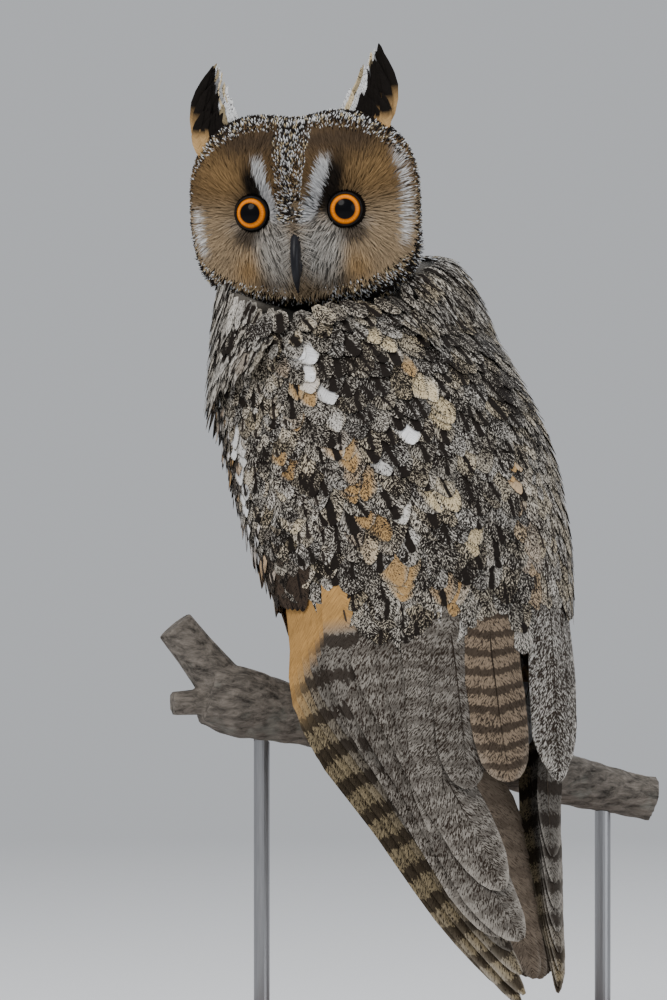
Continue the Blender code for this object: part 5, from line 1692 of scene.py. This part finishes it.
class OWL_OT_perch(bpy.types.Operator):
    """Make the branch with its bark and cut stubs"""

    bl_idname = "owl.perch"
    bl_label = "Perch"

    def execute(self, context):
        bark = self.bark(tuple(context.scene.owl_colours.bark))
        fork = PERCH_CENTRE + PERCH_ALONG * -57
        upper = fork + np.outer(np.array([0, 10, 24, 36]), unit(np.array([-0.62, -0.1, 0.78])))
        lower = fork + np.outer(np.array([0, 12, 24]), unit(np.array([-0.98, -0.28, -0.05])))
        stub = unit(0.4 * PERCH_ALONG + PERCH_FRONT)
        twig = PERCH_CENTRE + PERCH_ALONG * 72 + np.outer(np.array([0, 11, 15]), stub)
        shells = [self.branch()]
        for path, radii, upright in (
            (upper, (8.6, 8.8, 7.6, 7.2), PERCH_FRONT), (lower, (5.4, 4.9, 4.4), UP), (twig, (3.4, 2.8, 2.6), UP)
        ):
            shells.append(tube_surface(path, radii, upright)(*ring_grid((0, 1), 30, CIRCLE, 64)))
        joined = join_shells("branch", shells, BARK_VOXEL)
        finish_piece("branch", joined, bark, "bark", ("perch",), 60)
        return {"FINISHED"}

    def branch(self):
        """A tube with the solid's radius, times slow waves round and along it, plus bark ridges."""
        along, turn = ring_grid((PERCH_LEFT, PERCH_RIGHT), 200, TURN, 90)
        waves = 1 + 0.03 * np.sin(3 * turn + along * 0.05) + 0.02 * np.sin(5 * turn - along * 0.09)
        ridges = 0.22 * np.sin(11 * turn + 1.8 * np.sin(along * 0.12))
        ridges = ridges + 0.18 * np.sin(along * 0.7 + 3 * np.sin(turn * 2))
        radius = perch_radius(along) * waves + ridges - 0.2
        centre = PERCH_CENTRE + along[..., None] * PERCH_ALONG
        return centre + radius[..., None] * around(turn, PERCH_TOP, PERCH_FRONT)

    def bark(self, colour):
        """Grey-brown bark: long streaks, cracks across, and pale lichen here and there."""
        board = Board("bark", Roughness=0.9, Specular_IOR_Level=0.2)
        streaks = board.noise(board.stretched((0.35, 1.0, 1.0), (0, -0.24, 0.24)), 420, 6.0, 0.7, 0.4)
        blots = board.noise(board.coordinates(), 55, 3.0, 0.6)
        base = board.mix(((streaks - 0.5) * 3 + 0.5).held(), dim(colour, 0.16), dim(colour, 1.15))
        board.colour(board.mix(((blots - 0.56) * 8).held() * 0.6, base, (0.30, 0.30, 0.26)))
        board.bump(streaks + blots * 0.5, 0.0012, 0.8)
        return board.material


class OWL_OT_stand(bpy.types.Operator):
    """Give the stand its wood and steel"""

    bl_idname = "owl.stand"
    bl_label = "Stand"

    def execute(self, context):
        oak = tuple(context.scene.owl_colours.oak)
        board = Board("waxed_oak", Coat_Weight=0.3, Coat_Roughness=0.2)
        grain = board.noise(board.stretched((1.0, 9.0, 9.0)), 24, 6.0, 0.6, 0.8)
        pores = board.noise(board.stretched((0.06, 1.0, 1.0)), 1400, 2.0)
        colour = board.mix(((grain - 0.5) * 2.6 + 0.5).held(), dim(oak, 0.45), dim(oak, 1.5))
        board.colour(board.shade(colour, pores * 0.6 + 0.7))
        board.roughness(grain * 0.25 + 0.28)
        board.bump(grain + pores * 0.4, 0.0003, 0.35)
        steel = Board("satin_steel", Metallic=1.0)
        brushed = steel.noise(steel.stretched((1.0, 1.0, 0.03)), 2600, 2.0)
        steel.colour(steel.mix(brushed, (0.26, 0.26, 0.27), (0.42, 0.42, 0.43)))
        steel.roughness(brushed * 0.2 + 0.25)
        for name, look in (("stand_base", board), ("stand_rod_left", steel), ("stand_rod_right", steel)):
            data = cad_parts[name].data
            data.materials.clear()
            data.materials.append(look.material)
        return {"FINISHED"}


# The photograph's size, its scale in metres, and the pixel where the middle of the stand and the nape meet
PHOTO_WIDTH, PHOTO_HEIGHT, PIXEL, PHOTO_MIDDLE, PHOTO_NAPE = 667, 1000, 0.000375, 425, 300
CAMERA_DISTANCE, CAMERA_RISE = 6.0, math.radians(1.2)
FLOOR_GAP = 0.3


class OWL_OT_stage(bpy.types.Operator):
    """Make the floor, the lights and the camera"""

    bl_idname = "owl.stage"
    bl_label = "Stage"

    def execute(self, context):
        self.floor(context)
        self.lights(context)
        self.camera(context)
        return {"FINISHED"}

    def floor(self, context):
        """A level disc of rings just under the base, faded out towards its edge."""
        radius = context.scene.owl_sizes.floor_radius
        rings, turn = ring_grid((0.001, 1), 24, TURN, 96)
        points = np.stack([rings * np.cos(turn), rings * np.sin(turn), 0 * turn], -1) * radius / MM
        points[..., 2] -= FLOOR_GAP
        quads = grid_faces(*turn.shape)
        mesh = raw_mesh("floor", points.reshape(-1, 3), quads.ravel(), np.arange(len(quads)) * 4)
        board = Board("pale_floor", Roughness=0.75)
        length = board.node("ShaderNodeVectorMath", {"operation": "LENGTH"}, {0: board.coordinates()}, "Value")
        board.colour(tuple(context.scene.owl_colours.floor))
        board.feed(board.shader.inputs["Alpha"], 1 - ((length - 0.3) * (1 / (radius - 0.4))).held())
        floor = finish_piece("floor", mesh, board.material, None)

    def lights(self, context):
        """Four soft discs aimed at the owl's middle, and a pale grey world."""
        for name, place, size, power, colour in (
            ("key", (-0.9, -1.5, 1.6), 1.2, 26, (1.0, 0.98, 0.95)),
            ("fill", (1.6, -1.3, 0.6), 1.4, 10, (0.92, 0.96, 1.0)),
            ("top", (0.1, 0.3, 1.9), 1.3, 16, (0.95, 0.98, 1.0)),
            ("back", (0.6, 1.8, 0.9), 1.2, 10, (0.95, 0.97, 1.0)),
        ):
            data = bpy.data.lights.new(name, "AREA")
            data.shape, data.size, data.energy, data.color = "DISK", size, power, colour
            light = new_object(name, data)
            light.location = place
            light.rotation_mode = "QUATERNION"
            light.rotation_quaternion = (Vector((0, 0, 0.22)) - light.location).to_track_quat("-Z", "Y")
        world = bpy.data.worlds.new("studio")
        world.use_nodes = True
        background = world.node_tree.nodes["Background"]
        background.inputs[0].default_value = (0.66, 0.68, 0.71, 1)
        background.inputs[1].default_value = 0.75
        context.scene.world = world

    def camera(self, context):
        """The photograph's framing from far off: its pixel's size gives the lens, its nape's pixel the aim."""
        data = bpy.data.cameras.new("camera")
        camera = new_object("camera", data)
        context.scene.camera = camera
        across, height = PHOTO_WIDTH / 2 - PHOTO_MIDDLE, PHOTO_HEIGHT / 2 - PHOTO_NAPE
        target = Vector((across * PIXEL, 0, NAPE[2] * MM - height * PIXEL))
        back = Vector((0, -math.cos(CAMERA_RISE), math.sin(CAMERA_RISE)))
        camera.location = target + back * CAMERA_DISTANCE
        camera.rotation_mode = "QUATERNION"
        camera.rotation_quaternion = (-back).to_track_quat("-Z", "Y")
        data.sensor_width = 36
        data.lens = data.sensor_width * CAMERA_DISTANCE / (PHOTO_HEIGHT * PIXEL)
        data.clip_end = 100


PIECES = (
    OWL_OT_skin, OWL_OT_back, OWL_OT_breast, OWL_OT_neck, OWL_OT_crown, OWL_OT_face, OWL_OT_eyes, OWL_OT_bill,
    OWL_OT_ear_tufts, OWL_OT_wings, OWL_OT_tail, OWL_OT_legs, OWL_OT_claws, OWL_OT_perch, OWL_OT_stand, OWL_OT_stage,
)


class OWL_PT_panel(bpy.types.Panel):
    """Lists the owl's pieces, sizes and colours"""

    bl_idname = "OWL_PT_panel"
    bl_label = "Owl"
    bl_space_type = "VIEW_3D"
    bl_region_type = "UI"
    bl_category = "Owl"

    def draw(self, context):
        for group in (context.scene.owl_sizes, context.scene.owl_colours):
            for name in group.__annotations__:
                self.layout.prop(group, name)
        for piece in PIECES:
            self.layout.operator(piece.bl_idname)


CLASSES = (OwlSizes, OwlColours, *PIECES, OWL_PT_panel)


def register():
    for made in CLASSES:
        bpy.utils.register_class(made)
    bpy.types.Scene.owl_sizes = PointerProperty(type=OwlSizes)
    bpy.types.Scene.owl_colours = PointerProperty(type=OwlColours)


def unregister():
    del bpy.types.Scene.owl_sizes, bpy.types.Scene.owl_colours
    for made in reversed(CLASSES):
        bpy.utils.unregister_class(made)


def main():
    register()
    for piece in PIECES:
        group, name = piece.bl_idname.split(".")
        getattr(getattr(bpy.ops, group), name)()


if __name__ == "__main__":
    main()
